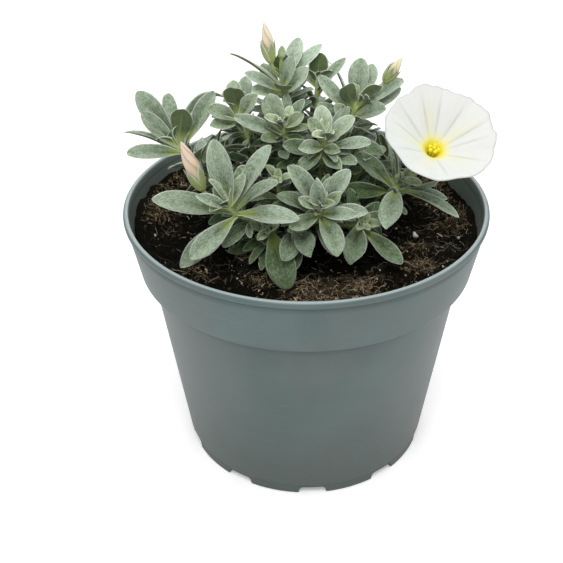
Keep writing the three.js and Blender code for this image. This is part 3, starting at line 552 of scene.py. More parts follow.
def gather_obstacles():
    """Stems, the bloom and the buds as points, with the distance that leaves keep from each."""
    groups = [(cubic(stem_bend(shoot), np.arange(21) / 20), STEM_CLEARANCE, shoot["name"], False)
              for shoot in SHOOTS]
    groups.append((cad_bloom_points(BLOOM["frame"]), BLOOM_CLEARANCE, BLOOM["shoot"], True))
    for bud in BUDS + [YOUNG_BUD]:
        for share in np.arange(9) * 0.125:
            keep = 2.5 if share < 0.2 else bud["radius"] + 2
            groups.append((on_axis(bud["frame"], share * bud["length"])[None], keep, bud["shoot"], True))
    points, *facts = zip(*groups)
    counts = [len(some) for some in points]
    keep, owner, bloom = (np.repeat(fact, counts) for fact in facts)
    return {"points": np.concatenate(points), "keep": keep, "owner": owner, "bloom": bloom}


for holder in [BLOOM, YOUNG_BUD, *BUDS]:
    holder["frame"] = frame_at(holder["base"], holder["aim"])
PLACED = []
OBSTACLES = gather_obstacles()
LEAVES = place_leaves()


# Meshes: rings of points closed at both ends, with named values for the materials
def loft(rings, start=None, end=None, **values):
    """A skin over rings. Its ends close on the given points, or else on the middles of the end rings."""
    rings = np.asarray(rings)
    count, sides = rings.shape[:2]
    start = rings[0].mean(axis=0) if start is None else start
    end = rings[-1].mean(axis=0) if end is None else end
    points = np.concatenate([start[None], rings.reshape(-1, 3), end[None]])
    here = np.arange(sides)
    after = (here + 1) % sides
    low = 1 + sides * np.arange(count - 1)[:, None]
    high = low + sides
    quads = np.stack([low + here, low + after, high + after, high + here], axis=-1).reshape(-1, 4)
    top = 1 + (count - 1) * sides
    last = len(points) - 1
    tris = np.concatenate([
        np.stack([np.zeros(sides, int), 1 + after, 1 + here], axis=-1),
        np.stack([np.full(sides, last), top + here, top + after], axis=-1),
    ])
    spread = {}
    for key, value in values.items():
        value = np.broadcast_to(np.asarray(value, float), (count, sides))
        spread[key] = np.concatenate([value[:1, 0], value.ravel(), value[-1:, 0]])
    return {"points": points, "quads": quads, "tris": tris, "values": spread}


def faceted(points, tris, **values):
    """A part of triangles only, each of its values the same all over it."""
    spread = {key: np.full(len(points), float(value)) for key, value in values.items()}
    return {"points": points, "quads": np.empty((0, 4), int), "tris": tris, "values": spread}


def make_mesh(name, parts):
    points = np.concatenate([part["points"] for part in parts]) * MM
    shift = np.cumsum([0] + [len(part["points"]) for part in parts])
    quads = np.concatenate([part["quads"].reshape(-1, 4) + at for part, at in zip(parts, shift)])
    tris = np.concatenate([part["tris"].reshape(-1, 3) + at for part, at in zip(parts, shift)])
    corners = np.concatenate([quads.ravel(), tris.ravel()]).astype(np.int32)
    sizes = np.concatenate([np.full(len(quads), 4), np.full(len(tris), 3)]).astype(np.int32)
    mesh = bpy.data.meshes.new(name)
    mesh.vertices.add(len(points))
    mesh.vertices.foreach_set("co", points.astype(np.float32).ravel())
    mesh.loops.add(len(corners))
    mesh.loops.foreach_set("vertex_index", corners)
    mesh.polygons.add(len(sizes))
    starts = np.concatenate([[0], np.cumsum(sizes)[:-1]]).astype(np.int32)
    mesh.polygons.foreach_set("loop_start", starts)
    mesh.update(calc_edges=True)
    mesh.validate()
    for key in sorted({key for part in parts for key in part["values"]}):
        values = [part["values"].get(key, np.zeros(len(part["points"]))) for part in parts]
        layer = mesh.attributes.new(key, "FLOAT", "POINT")
        layer.data.foreach_set("value", np.concatenate(values).astype(np.float32))
    mesh.shade_smooth()
    return mesh


def link(name, data):
    made = bpy.data.objects.new(name, data)
    bpy.context.scene.collection.objects.link(made)
    return made


def add_piece(name, mesh, material, replaced=(), crease=None):
    """A piece from a mesh, or from the parts of one, sharp where its faces meet at more than the crease."""
    if isinstance(mesh, list):
        mesh = make_mesh(name, mesh)
    if crease:
        mesh.set_sharp_from_angle(angle=crease * DEG)
    mesh.materials.append(material)
    piece = link(name, mesh)
    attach(piece, "root")
    if replaced:
        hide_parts(*replaced)


def circle(radius, angles, height):
    """Points round the pot's axis."""
    return np.stack(np.broadcast_arrays(radius * np.cos(angles), radius * np.sin(angles), height), axis=-1)


def oval(centre, first, second, wide, tall, angles):
    """Points of an oval, as wide along the first direction as it is tall along the second."""
    return centre + first * (wide * np.cos(angles))[:, None] + second * (tall * np.sin(angles))[:, None]


def rings_along(points, radii, sides, squash=0.0):
    """Rings across a path, turned by as little as the path allows."""
    across = np.array([1.0, 0.0, 0.0])
    angles = ring_angles(sides)
    rings = []
    for i, point in enumerate(points):
        along = unit(points[min(i + 1, len(points) - 1)] - points[max(i - 1, 0)])
        across = side_of(along, across)
        other = np.cross(along, across)
        radius = radii[i] * (1 + squash * np.cos(2 * angles))
        rings.append(oval(point, across, other, radius, radius, angles))
    return np.array(rings)


# Materials: values in a node tree that can be added, subtracted and multiplied
class Field:
    def __init__(self, shader, socket):
        self.shader = shader
        self.socket = socket

    def __add__(self, other):
        return self.shader.math("ADD", self, other)

    def __sub__(self, other):
        return self.shader.math("SUBTRACT", self, other)

    def __rsub__(self, other):
        return self.shader.math("SUBTRACT", other, self)

    def __mul__(self, other):
        return self.shader.math("MULTIPLY", self, other)

    __radd__ = __add__
    __rmul__ = __mul__


class Shader:
    """A small helper that wires shader nodes."""

    def __init__(self, name):
        self.material = bpy.data.materials.new(name)
        self.material.use_nodes = True
        self.tree = self.material.node_tree
        self.surface = self.tree.nodes["Principled BSDF"]

    def feed(self, socket, value):
        if isinstance(value, Field):
            self.tree.links.new(value.socket, socket)
        elif socket.type == "RGBA" and len(value) == 3:
            socket.default_value = (*value, 1)
        else:
            socket.default_value = value

    def node(self, kind, output, inputs=(), **settings):
        made = self.tree.nodes.new(f"ShaderNode{kind}")
        for key, value in settings.items():
            setattr(made, key, value)
        for key, value in dict(inputs).items():
            self.feed(made.inputs[key], value)
        return Field(self, made.outputs[output])

    def value(self, name):
        return self.node("Attribute", "Fac", attribute_name=name)

    def values(self, *names):
        return [self.value(name) for name in names]

    def math(self, operation, first, second=0.0, third=0.0):
        return self.node("Math", 0, {0: first, 1: second, 2: third}, operation=operation)

    def smooth(self, value, low, high):
        """0 below the low value, 1 above the high one."""
        inputs = {"Value": value, "From Min": low, "From Max": high}
        return self.node("MapRange", "Result", inputs, interpolation_type="SMOOTHSTEP", clamp=True)

    def fade(self, value, low, high):
        """1 below the low value, 0 above the high one."""
        return 1 - self.smooth(value, low, high)

    def mix(self, factor, first, second, blend="MIX"):
        inputs = {"Factor": factor, 6: first, 7: second}
        return self.node("Mix", 2, inputs, data_type="RGBA", blend_type=blend, clamp_factor=True)

    def coats(self, colour, *coats):
        """The colour under coats, each one a mask and a colour of its own."""
        for mask, tone in coats:
            colour = self.mix(mask, colour, tone)
        return colour

    def place(self, scale=(1, 1, 1)):
        """Object coordinates in millimetres, stretched by scale."""
        inputs = {"Vector": self.node("TexCoord", "Object"), "Scale": [each / MM for each in scale]}
        return self.node("Mapping", "Vector", inputs)

    def combine(self, x, y, z):
        return self.node("CombineXYZ", "Vector", {"X": x, "Y": y, "Z": z})

    def vector(self, operation, output, first, second=(0, 0, 0)):
        return self.node("VectorMath", output, {0: first, 1: second}, operation=operation)

    def noise(self, vector, scale, detail=3.0, roughness=0.55):
        inputs = {"Vector": vector, "Scale": scale, "Detail": detail, "Roughness": roughness}
        return self.node("TexNoise", "Fac", inputs)

    def grain(self, scale, detail=3.0, roughness=0.55):
        """Noise through the piece, with its scale per millimetre."""
        return self.noise(self.place(), scale, detail, roughness)

    def bump(self, height, strength, distance, **under):
        inputs = {"Height": height, "Strength": strength, "Distance": distance * MM, **under}
        return self.node("Bump", "Normal", inputs)

    def finish(self, **inputs):
        for key, value in inputs.items():
            self.feed(self.surface.inputs[key.replace("_", " ").title().replace("Ior", "IOR")], value)
        return self.material


def leaf_material():
    """Green under silky hairs along the leaf, dense towards the tip, thinner towards the base and on the
    back. The backs' dark green is partly painted shade, and painted shade makes leaves deep in the bush and
    near the soil less silver, greener and darker.
    """
    sh = Shader("silver_leaf")
    across, along, under = sh.values("across", "along", "under")
    tint, youth, shade, woody = sh.values("tint", "youth", "shade", "woody")
    wide, long, edge = sh.values("wide_mm", "long_mm", "edge_mm")
    streaks = sh.noise(sh.combine(2.4 * wide, 0.5 * long, 0.0), 1.0)
    fine = sh.noise(sh.combine(6.0 * wide, 1.6 * long, 3.0), 1.0)
    felt = sh.grain(1.2, 4.0, 0.7)
    hairs = sh.smooth(0.45 * streaks + 0.2 * felt + 0.35 * fine, 0.4, 0.6)
    patches = sh.smooth(sh.grain(0.3, 2.0), 0.35, 0.65)

    bare = sh.fade(across, 0.0, 0.5) * (0.5 * sh.fade(along, 0.1, 0.7) + 0.1)
    # Painted shade: deep in the bush and near the soil the silver cover is cut and the green made deeper
    cover = 0.58 * hairs + 0.18 * patches + 0.3 * along + 0.4 * tint - 0.6 * shade - bare - 0.13
    green = sh.mix(shade, (0.065, 0.115, 0.03), (0.085, 0.165, 0.032))
    green = sh.mix(youth, green, (0.28, 0.39, 0.08))
    silver = sh.mix(youth, (0.5, 0.61, 0.485), (0.57, 0.68, 0.32))
    # The backs' dark green is partly their thinner hairs and partly painted shade
    back = sh.mix(0.3 * hairs, (0.08, 0.13, 0.035), (0.28, 0.35, 0.2))
    rib = sh.fade(across, 0.01, 0.07) * (0.6 - 0.6 * along)
    base = 0.95 * sh.fade(along, 0.06, 0.45)
    margin = sh.fade(edge, 0.2, 0.52) * (0.4 * tint + 0.6)
    blade = sh.coats(
        sh.mix(under, sh.mix(cover, green, silver), back),
        (rib, (0.5, 0.58, 0.36)),
        (base, (0.52, 0.64, 0.17)),
        (margin, (0.83, 0.88, 0.79)),
    )
    # Random tone per leaf, lighter higher up as partly painted light
    varied = sh.mix(1.0, blade, sh.mix(tint, (0.7, 0.73, 0.66), (1.15, 1.15, 1.15)), "MULTIPLY")
    # Painted shade: leaves deep in the bush and near the soil are darkened
    shaded = sh.mix(1.0, varied, (0.43, 0.54, 0.36), "MULTIPLY")
    bark = sh.mix(felt, (0.09, 0.08, 0.035), (0.26, 0.26, 0.14))
    colour = sh.coats(varied, (shade, shaded), (woody, bark))
    return sh.finish(base_color=colour, normal=sh.bump(hairs + fine, 0.65, 0.16), roughness=0.6,
                     sheen_weight=0.35, sheen_roughness=0.4, specular_ior_level=0.35)


def inward(sh):
    """How much a surface faces the axis of the pot, from -1 to 1."""
    place, normal = sh.node("TexCoord", "Object"), sh.node("TexCoord", "Normal")
    out = sh.vector("NORMALIZE", "Vector", sh.vector("MULTIPLY", "Vector", place, (1, 1, 0)))
    return -1.0 * sh.vector("DOT_PRODUCT", "Value", normal, out)


def pot_material():
    """Grey-blue plastic, mottled and darker towards the bottom, with a painted highlight on the lip's crest
    and on the ledge above the foot, painted light on the inner wall, and painted shade in the groove under
    the lip and under the band.
    """
    sh = Shader("grey_blue_plastic")
    clouds = sh.grain(0.035, 3.0, 0.5)
    flow = sh.noise(sh.place((0.02, 0.02, 0.6)), 1.0, 2.0)
    warm = sh.noise(sh.place((1, 1, 0.6)), 0.028)
    height = sh.node("SeparateXYZ", "Z", {"Vector": sh.place()})
    specks = sh.fade(sh.node("TexVoronoi", "Distance", {"Vector": sh.place(), "Scale": 0.22}), 0.03, 0.07)
    # Painted light: the inner wall above the band's foot is made paler
    inner_wall_light = sh.smooth(inward(sh), 0.2, 0.6) * sh.smooth(height, BAND_BOTTOM - 1.6, BAND_BOTTOM + 2.4)
    # Painted highlight along the lip's crest
    crest_highlight = sh.smooth(height, POT_HEIGHT - 0.5, POT_HEIGHT - 0.05)
    # Painted shadow in the groove under the lip's bead
    groove = sh.math("COMPARE", height, POT_HEIGHT - 3.9, 0.5)
    # Painted highlight on the ledge above the foot ring
    seam = sh.math("COMPARE", height, FOOT_RING_HEIGHT + 0.2, 0.35)
    body = sh.math("LESS_THAN", height, BAND_BOTTOM + 0.1)
    # Painted shade on the body just under the band's edge
    shade_under_band = sh.smooth(height, BAND_BOTTOM - 8.0, BAND_BOTTOM - 3.5) * body
    colour = sh.coats(
        sh.mix(sh.smooth(clouds, 0.3, 0.7), (0.069, 0.12, 0.115), (0.1, 0.158, 0.151)),
        (0.3 * sh.grain(0.9, 4.0, 0.6), (0.15, 0.19, 0.187)),
        (0.25 * sh.smooth(flow, 0.5, 0.8), (0.14, 0.18, 0.176)),
        (0.35 * specks, (0.05, 0.045, 0.03)),
        (0.42 * sh.smooth(warm, 0.45, 0.62), (0.122, 0.136, 0.137)),
        (0.6 * inner_wall_light, (0.2, 0.23, 0.2)),
        (0.8 * crest_highlight, (0.38, 0.45, 0.45)),
        (0.45 * groove, (0.035, 0.05, 0.05)),
        (0.5 * seam, (0.24, 0.29, 0.29)),
        (0.15 * body, (0.098, 0.102, 0.091)),
        (0.4 * shade_under_band, (0.045, 0.065, 0.063)),
        (0.7 * sh.fade(height, 0.0, 70.0), (0.074, 0.092, 0.085)),
    )
    normal = sh.bump(flow, 0.1, 0.4, Normal=sh.bump(sh.grain(2.4, 3.0, 0.6), 0.25, 0.12))
    return sh.finish(base_color=colour, roughness=0.16 * clouds + 0.34, normal=normal, specular_ior_level=0.5)


def soil_material():
    sh = Shader("dark_peat")
    coarse = sh.grain(0.35, 4.0, 0.6)
    fine = sh.grain(1.6, 5.0, 0.7)
    brown = sh.mix(sh.smooth(fine, 0.42, 0.7), (0.003, 0.0025, 0.001), (0.058, 0.037, 0.017))
    colour = sh.coats(
        sh.mix(fine, (0.001, 0.001, 0.0006), (0.0075, 0.0075, 0.0042)),
        (0.8 * sh.value("brown"), brown),
        (0.7 * sh.smooth(sh.grain(2.6, 2.0, 0.5), 0.68, 0.74), (0.12, 0.1, 0.07)),
    )
    normal = sh.bump(coarse + fine, 0.9, 1.2)
    return sh.finish(base_color=colour, roughness=0.9, normal=normal, specular_ior_level=0.06)


def crumb_material(name, dark, light, roughness=0.92):
    sh = Shader(name)
    fine = sh.grain(2.0, 4.0, 0.7)
    dull = [0.4 * each for each in light]
    colour = sh.coats(sh.mix(sh.value("tint"), dark, light), (0.3 * fine, dull))
    normal = sh.bump(fine, 0.7, 0.35)
    return sh.finish(base_color=colour, roughness=roughness, normal=normal, specular_ior_level=0.08)


def petal_material():
    """White with faint veins, painted shade along the creases and on the rim, cream bands, and a yellow
    throat.
    """
    sh = Shader("white_petal")
    reach, crease, band, around, inside = sh.values("reach", "crease", "band", "around", "inside")
    veins = sh.noise(sh.combine(30.0 * around, 3.0 * reach, 0.0), 1.0)
    throat = sh.mix(inside, (0.66, 0.7, 0.42), (0.87, 0.77, 0.02))
    colour = sh.coats(
        sh.mix(veins, (0.68, 0.7, 0.68), (0.77, 0.785, 0.76)),
        (0.8 * band * sh.fade(reach, 0.2, 0.95), (0.76, 0.76, 0.55)),
        # Painted shade along the creases
        (0.6 * crease * sh.fade(reach, 0.55, 0.97), (0.4, 0.43, 0.36)),
        # Painted shade on the rim, a thin darker edge
        (0.6 * sh.smooth(reach, 0.955, 0.995), (0.54, 0.56, 0.55)),
        (sh.fade(reach, TUBE_SHARE, 0.37) * (0.75 * inside + 0.1), (0.82, 0.78, 0.2)),
        (sh.fade(reach, TUBE_SHARE, 0.25), throat),
    )
    return sh.finish(base_color=colour, roughness=0.55, normal=sh.bump(veins, 0.3, 0.15),
                     subsurface_weight=0.12, subsurface_scale=0.002, sheen_weight=0.1, specular_ior_level=0.3)


def stamen_material():
    sh = Shader("yellow_stamen")
    powder = sh.grain(5.0, 3.0, 0.7)
    colour = sh.mix(powder, (0.9, 0.74, 0.015), (0.98, 0.9, 0.1))
    return sh.finish(base_color=colour, roughness=0.8, normal=sh.bump(powder, 0.6, 0.15))


def bud_material(name, tip, body, seam):
    sh = Shader(name)
    along, fold = sh.values("along", "fold")
    streaks = sh.noise(sh.combine(5.0 * fold, along, 0.0), 2.0)
    colour = sh.coats(
        sh.mix(sh.smooth(along, 0.35, 0.95), body, tip),
        (0.4 * sh.smooth(streaks, 0.45, 0.7), seam),
        (0.75 * sh.smooth(fold, 0.45, 1.0), seam),
    )
    hairs = sh.noise(sh.place((1, 1, 0.3)), 4.0, 3.0, 0.7)
    return sh.finish(base_color=colour, roughness=0.62, normal=sh.bump(hairs, 0.4, 0.12),
                     sheen_weight=0.25, subsurface_weight=0.1, subsurface_scale=0.002)


LEAF = leaf_material()
POT = pot_material()
SOIL = soil_material()
CRUMB = crumb_material("peat_crumbs", (0.0016, 0.0016, 0.0009), (0.18, 0.15, 0.085))
ROOT = crumb_material("fine_roots", (0.008, 0.0075, 0.006), (0.7, 0.64, 0.5), 0.8)
COIR = crumb_material("coir_fibre", (0.026, 0.017, 0.009), (0.93, 0.77, 0.52), 0.8)
COIR_CRUMB = crumb_material("coir_crumbs", (0.004, 0.003, 0.0016), (0.3, 0.205, 0.1))
CHIP = crumb_material("wood_chips", (0.03, 0.018, 0.01), (0.74, 0.58, 0.4), 0.85)
PERLITE = crumb_material("perlite", (0.34, 0.28, 0.18), (0.9, 0.89, 0.86), 0.85)
PETAL = petal_material()
STAMEN = stamen_material()
BUD_LOOKS = {
    "bud_front": bud_material("peach_bud", (0.79, 0.65, 0.53), (0.71, 0.58, 0.4), (0.44, 0.27, 0.19)),
    "bud_top": bud_material("cream_bud", (0.84, 0.78, 0.64), (0.78, 0.7, 0.48), (0.5, 0.33, 0.17)),
    "bud_right": bud_material("pale_bud", (0.84, 0.79, 0.6), (0.72, 0.7, 0.38), (0.56, 0.46, 0.24)),
}


# Pot
def rounded(profile, radius, steps=4):
    """The profile with each inner corner turned into a short arc."""
    result = [profile[0]]
    for before, corner, after in zip(profile, profile[1:], profile[2:]):
        corner = np.array(corner, float)
        back, ahead = np.array(before) - corner, np.array(after) - corner
        reach = min(radius, 0.45 * np.linalg.norm(back), 0.45 * np.linalg.norm(ahead))
        first, last = corner + unit(back) * reach, corner + unit(ahead) * reach
        for step in range(steps + 1):
            t = step / steps
            result.append(tuple(first * (1 - t) ** 2 + 2 * corner * t * (1 - t) + last * t**2))
    return result + [profile[-1]]


def pot_profile():
    """Half of the pot's section: under the base, up the outside, over the lip and down the inside."""
    rim, top, foot = POT_RIM_RADIUS, POT_HEIGHT, POT_FOOT_RADIUS
    foot_inner = foot - FOOT_RING_WIDTH
    ledge = BAND_BOTTOM + POT_WALL
    return [
        (0, BASE_RECESS), (foot_inner - 0.8, BASE_RECESS), (foot_inner, 0), (foot - 0.5, 0), (foot, 0.6),
        (foot, FOOT_RING_HEIGHT - 0.5), (BODY_FOOT_RADIUS, FOOT_RING_HEIGHT + 0.4),
        (BODY_TOP_RADIUS, BAND_BOTTOM), (BAND_BOTTOM_RADIUS - 0.4, BAND_BOTTOM),
        (BAND_BOTTOM_RADIUS, BAND_BOTTOM + 0.5), (rim - 1.6, top - 6.5), (rim - 2.1, top - 3.7),
        (rim - 0.7, top - 3.3), (rim, top - 2.3), (rim - 0.1, top - 0.8), (rim - 1.0, top), (rim - 2.1, top),
        (rim - LIP_WIDTH, top - LIP_ROUNDING), (BAND_BOTTOM_RADIUS - POT_WALL, ledge),
        (BODY_TOP_RADIUS - POT_WALL, ledge), (BODY_FOOT_RADIUS - POT_WALL, FLOOR_TOP), (0, FLOOR_TOP),
    ]


def turned(profile, sides):
    rings = [circle(radius, ring_angles(sides), height) for radius, height in profile[1:-1]]
    return loft(rings, UP * profile[0][1], UP * profile[-1][1])


def cutter_parts():
    """Drainage notches with rounded upper corners, and the round holes in the base."""
    parts = []
    half, corner = NOTCH_WIDTH / 2, NOTCH_CORNER
    arc = [(half - corner + corner * math.cos(a), NOTCH_HEIGHT - corner + corner * math.sin(a))
           for a in np.linspace(0, math.pi / 2, 6)]
    outline = [(half + 1.0, -1)] + arc + [(-x, z) for x, z in reversed(arc)] + [(-half - 1.0, -1)]
    for i in range(NOTCH_COUNT):
        angle = (FIRST_NOTCH_DEG + i * 360 / NOTCH_COUNT) * DEG
        out = np.array([math.cos(angle), math.sin(angle), 0])
        across = np.array([-math.sin(angle), math.cos(angle), 0])
        parts.append(loft([
            [out * radius + across * x + UP * z for x, z in outline]
            for radius in (POT_FOOT_RADIUS - FOOT_RING_WIDTH - 2, POT_FOOT_RADIUS + 2)
        ]))
    for angle in ring_angles(DRAIN_COUNT) + math.pi / DRAIN_COUNT:
        middle = circle(DRAIN_CIRCLE_RADIUS, angle, 0)
        parts.append(loft([
            middle + circle(DRAIN_RADIUS, ring_angles(32), height)
            for height in (BASE_RECESS - 2, BASE_RECESS + POT_WALL + 2)
        ]))
    return parts


def make_pot():
    blank = link("pot_blank", make_mesh("pot_blank", [turned(rounded(pot_profile(), 0.7), POT_SIDES)]))
    cutter = link("pot_cutter", make_mesh("cutters", cutter_parts()))
    cut = blank.modifiers.new("notches", "BOOLEAN")
    cut.operation = "DIFFERENCE"
    cut.solver = "EXACT"
    cut.object = cutter
    graph = bpy.context.evaluated_depsgraph_get()
    mesh = bpy.data.meshes.new_from_object(blank.evaluated_get(graph))
    bpy.data.objects.remove(blank)
    bpy.data.objects.remove(cutter)
    add_piece("pot_shell", mesh, POT, ["pot"], crease=38)


# Soil
def soil_relief(x, y):
    """How far the real surface stands off the smooth one: lumps, hollows and banks against the wall."""
    spot = Vector((x, y, 0))
    coarse = noise.fractal(spot * 0.09, 0.7, 2.1, 3)
    fine = noise.fractal(spot * 0.28 + Vector((7, 3, 1)), 0.8, 2.2, 4)
    ridges = abs(noise.noise(spot * 0.55 + Vector((2, 9, 4))))
    radius = max(math.hypot(x, y), 1)
    near_wall = min(max((radius - BANK_START) / (BAND_BOTTOM_RADIUS - BANK_START), 0), 1)
    bank = BANK_HEIGHT * near_wall**2 * (0.3 + 0.7 * (x / radius) ** 2)
    bank += HEAP_HEIGHT * near_wall**2 * math.exp(-((x - HEAP[0]) ** 2 + (y - HEAP[1]) ** 2) / HEAP_REACH**2)
    return 1.3 * coarse + 1.2 * fine + 0.7 * ridges - 0.3 + bank


def soil_top(x, y):
    return float(soil_height(x, y)) + soil_relief(x, y)


def coir_share(spots):
    """How brown and fibrous the soil is at each spot, from 0 to 1."""
    x, y = spots[..., 0], spots[..., 1]
    return np.max([np.exp(-((x - a) ** 2 + (y - b) ** 2) / reach**2) for a, b, reach in COIR_PATCHES], axis=0)


def make_soil():
    """A body that fills the pot with small gaps, its top meeting the leaning wall of the band."""
    angles = ring_angles(SOIL_SIDES)
    ledge = BAND_BOTTOM + POT_WALL + 0.4
    floor = FLOOR_TOP + SEAT_GAP
    wall = BAND_BOTTOM_RADIUS - POT_WALL
    fall = (BODY_TOP_RADIUS - POT_FOOT_RADIUS) / BAND_BOTTOM
    body = BODY_TOP_RADIUS - POT_WALL - 0.6 - fall
    side = [(BODY_FOOT_RADIUS - POT_WALL - 0.5, floor), (body, BAND_BOTTOM), (body, ledge),
            (wall - 0.6, ledge), (wall + 0.3, ledge + 4)]
    rings = [circle(radius, angles, height) for radius, height in side]
    edge = np.array([soil_top(*circle(WALL_AT_SOIL, angle, 0)[:2]) for angle in angles])
    meets = wall - 0.3 + (edge - ledge) * WALL_SLOPE
    rings.append(circle(meets, angles, edge - 1.2))
    for share in np.linspace(0.995, 0.01, 82):
        ring = circle(share * meets, angles, 0.0)
        ring[:, 2] = [soil_top(x, y) for x, y, _ in ring]
        rings.append(ring)
    part = loft(rings, UP * floor, UP * soil_top(0, 0), brown=coir_share(np.array(rings)))
    add_piece("soil_bed", [part], SOIL, ["soil"])


def ball(detail):
    """Points and faces of a round lump of radius 1."""
    maker = bmesh.new()
    bmesh.ops.create_icosphere(maker, subdivisions=detail, radius=1)
    points = np.array([vertex.co for vertex in maker.verts])
    tris = np.array([[vertex.index for vertex in face.verts] for face in maker.faces])
    maker.free()
    return points, tris


def strew_lumps(name, material, rng, spots, sizes, tints, stretch, detail, rough, sink=0.25, crease=None):
    """A piece of rough lumps lying on the soil, each turned, stretched and dented at random."""
    unit_points, tris = ball(detail)
    parts = []
    for (x, y), size, tint in zip(spots, sizes, tints):
        offset = Vector(rng.uniform(-50, 50, 3))
        dents = [1 + rough * noise.noise(Vector(point) * 1.7 + offset) for point in unit_points]
        shape = unit_points * np.array(dents)[:, None] * rng.uniform(*stretch, 3) * size
        spin = rng.uniform(0, 2 * np.pi)
        tilt = rng.normal(0, 0.35)
        turn = Matrix.Rotation(spin, 3, "Z") @ Matrix.Rotation(tilt, 3, "X")
        shape = shape @ np.array(turn).T
        height = soil_top(x, y) - shape[:, 2].min() - sink * np.ptp(shape[:, 2])
        parts.append(faceted(shape + np.array([x, y, height]), tris, tint=tint))
    add_piece(name, parts, material, crease=crease)


def on_soil(rng, count, inner=0.0, outer=LOOSE_REACH):
    radius = np.sqrt(rng.uniform(inner**2, outer**2, count))
    angle = rng.uniform(0, 2 * np.pi, count)
    return circle(radius, angle, 0.0)[:, :2]


def fibre(rng, x, y, length, radius, tint, above=0.2):
    """A bent thread lying on the soil, now and then lifting an end."""
    heading = rng.uniform(0, 2 * np.pi)
    curl = rng.normal(0, 0.1)
    step = length / FIBRE_STEPS
    lift = rng.uniform(0, 1) ** 3 * 0.35 * length
    points = []
    for i in range(FIBRE_STEPS + 1):
        if math.hypot(x, y) > LOOSE_REACH + 1:
            break
        rise = radius + above + lift * (i / FIBRE_STEPS) ** 2
        points.append(np.array([x, y, soil_top(x, y) + rise]))
        x += step * math.cos(heading)
        y += step * math.sin(heading)
        heading += curl * step + rng.normal(0, 0.13)
    if len(points) < 4:
        return []
    radii = radius * np.linspace(1, 0.5, len(points))
    return [loft(rings_along(points, radii, 4), points[0], points[-1], tint=tint)]


def chip(rng, x, y, length, heading, wide=1.0):
    """A flat splinter of wood or bark."""
    width, thick = wide * rng.uniform(0.35, 1.0), wide * rng.uniform(0.2, 0.45)
    along = unit(np.array([math.cos(heading), math.sin(heading), rng.normal(0, 0.2)]))
    side = unit(np.cross(UP, along))
    face = np.cross(along, side)
    middle = np.array([x, y, soil_top(x, y) + thick])
    rings = []
    for t in np.linspace(-1, 1, 7):
        swell = (1 - 0.55 * abs(t) ** 3) * (1 + 0.14 * rng.normal())
        bow = 0.06 * length * (1 - t * t)
        centre = middle + along * (t * length / 2) + face * bow
        rings.append(oval(centre, side, face, 0.5 * width * swell, 0.5 * thick * swell, ring_angles(8)))
    return loft(rings, tint=rng.uniform() ** 1.5)


def skewed(rng, count, smallest, spread, power):
    """Random sizes, most of them near the smallest."""
    return smallest + spread * rng.uniform(size=count) ** power


def peat_on_soil(rng):
    spots = on_soil(rng, CRUMB_COUNT)
    sizes = skewed(rng, CRUMB_COUNT, 0.22, 0.75, 4)
    tints = skewed(rng, CRUMB_COUNT, 0, 1, 3) * (0.35 + 0.65 * coir_share(spots))
    strew_lumps("peat_crumbs", CRUMB, rng, spots, sizes, tints, (0.6, 1.4), 1, 0.7)

    drawn = []
    for x, y, reach in COIR_PATCHES:
        count = int(COIR_CRUMB_DENSITY * reach**2)
        spots = (x, y) + rng.normal(0, COIR_SPREAD * reach, (count, 2))
        drawn.append((spots, skewed(rng, count, 0.2, 0.7, 3), skewed(rng, count, 0, 1, 2.5)))
    spots, sizes, tints = (np.concatenate(each) for each in zip(*drawn))
    kept = np.hypot(*spots.T) < LOOSE_REACH
    strew_lumps("coir_crumbs", COIR_CRUMB, rng, spots[kept], sizes[kept], tints[kept], (0.5, 1.5), 1, 0.8,
                sink=0.15, crease=30)

    spots = on_soil(rng, CLOD_COUNT, outer=LOOSE_REACH - 2)
    sizes = skewed(rng, CLOD_COUNT, 0.9, 1.5, 2)
    strew_lumps("peat_clods", CRUMB, rng, spots, sizes, 0.5 * coir_share(spots), (0.6, 1.2), 2, 0.9,
                sink=0.45, crease=50)


def threads_on_soil(rng):
    roots = []
    for x, y in on_soil(rng, ROOT_COUNT, inner=15):
        tint = rng.uniform() ** 6
        length = rng.uniform(2, 12 - 7 * tint)
        roots += fibre(rng, x, y, length, rng.uniform(0.05, 0.26 - 0.17 * tint), tint)
    add_piece("fine_roots", roots, ROOT)

    fibres = []
    for x, y, reach in COIR_PATCHES:
        for _ in range(int(COIR_DENSITY * reach**2)):
            dx, dy = rng.normal(0, COIR_SPREAD * reach, 2)
            tint = rng.uniform() ** 2
            fibres += fibre(rng, x + dx, y + dy, rng.uniform(1.5, 6.5 - 2.5 * tint), rng.uniform(0.05, 0.13),
                            tint, rng.uniform(0.2, 1.1))
    add_piece("coir_fibres", fibres, COIR)


def wood_on_soil(rng):
    chips = []
    for x, y in on_soil(rng, CHIP_COUNT, inner=20, outer=LOOSE_REACH - 3):
        chips.append(chip(rng, x, y, rng.uniform(1.2, 5.5), rng.uniform(0, 2 * np.pi)))
    for x, y, reach in COIR_PATCHES:
        for dx, dy in rng.normal(0, 0.5 * reach, (int(SHRED_DENSITY * reach**2), 2)):
            if math.hypot(x + dx, y + dy) < LOOSE_REACH - 1:
                chips.append(chip(rng, x + dx, y + dy, rng.uniform(0.9, 3), rng.uniform(0, 2 * np.pi), 0.55))
    for (x, y), (end_x, end_y) in STICKS:
        length = math.hypot(end_x - x, end_y - y)
        chips.append(chip(rng, (x + end_x) / 2, (y + end_y) / 2, length, math.atan2(end_y - y, end_x - x)))
    add_piece("wood_splinters", chips, CHIP, crease=50)


def perlite_on_soil(rng):
    large = np.array(PERLITE_SPOTS)
    spots = np.concatenate([large[:, :2], on_soil(rng, PERLITE_COUNT, inner=20, outer=LOOSE_REACH - 1)])
    sizes = skewed(rng, len(spots), 0.13, 0.38, 4)
    sizes[: len(large)] = large[:, 2]
    tints = rng.uniform(size=len(spots))
    strew_lumps("perlite_grains", PERLITE, rng, spots, sizes, tints, (0.6, 1.4), 2, 0.9, sink=0.1)


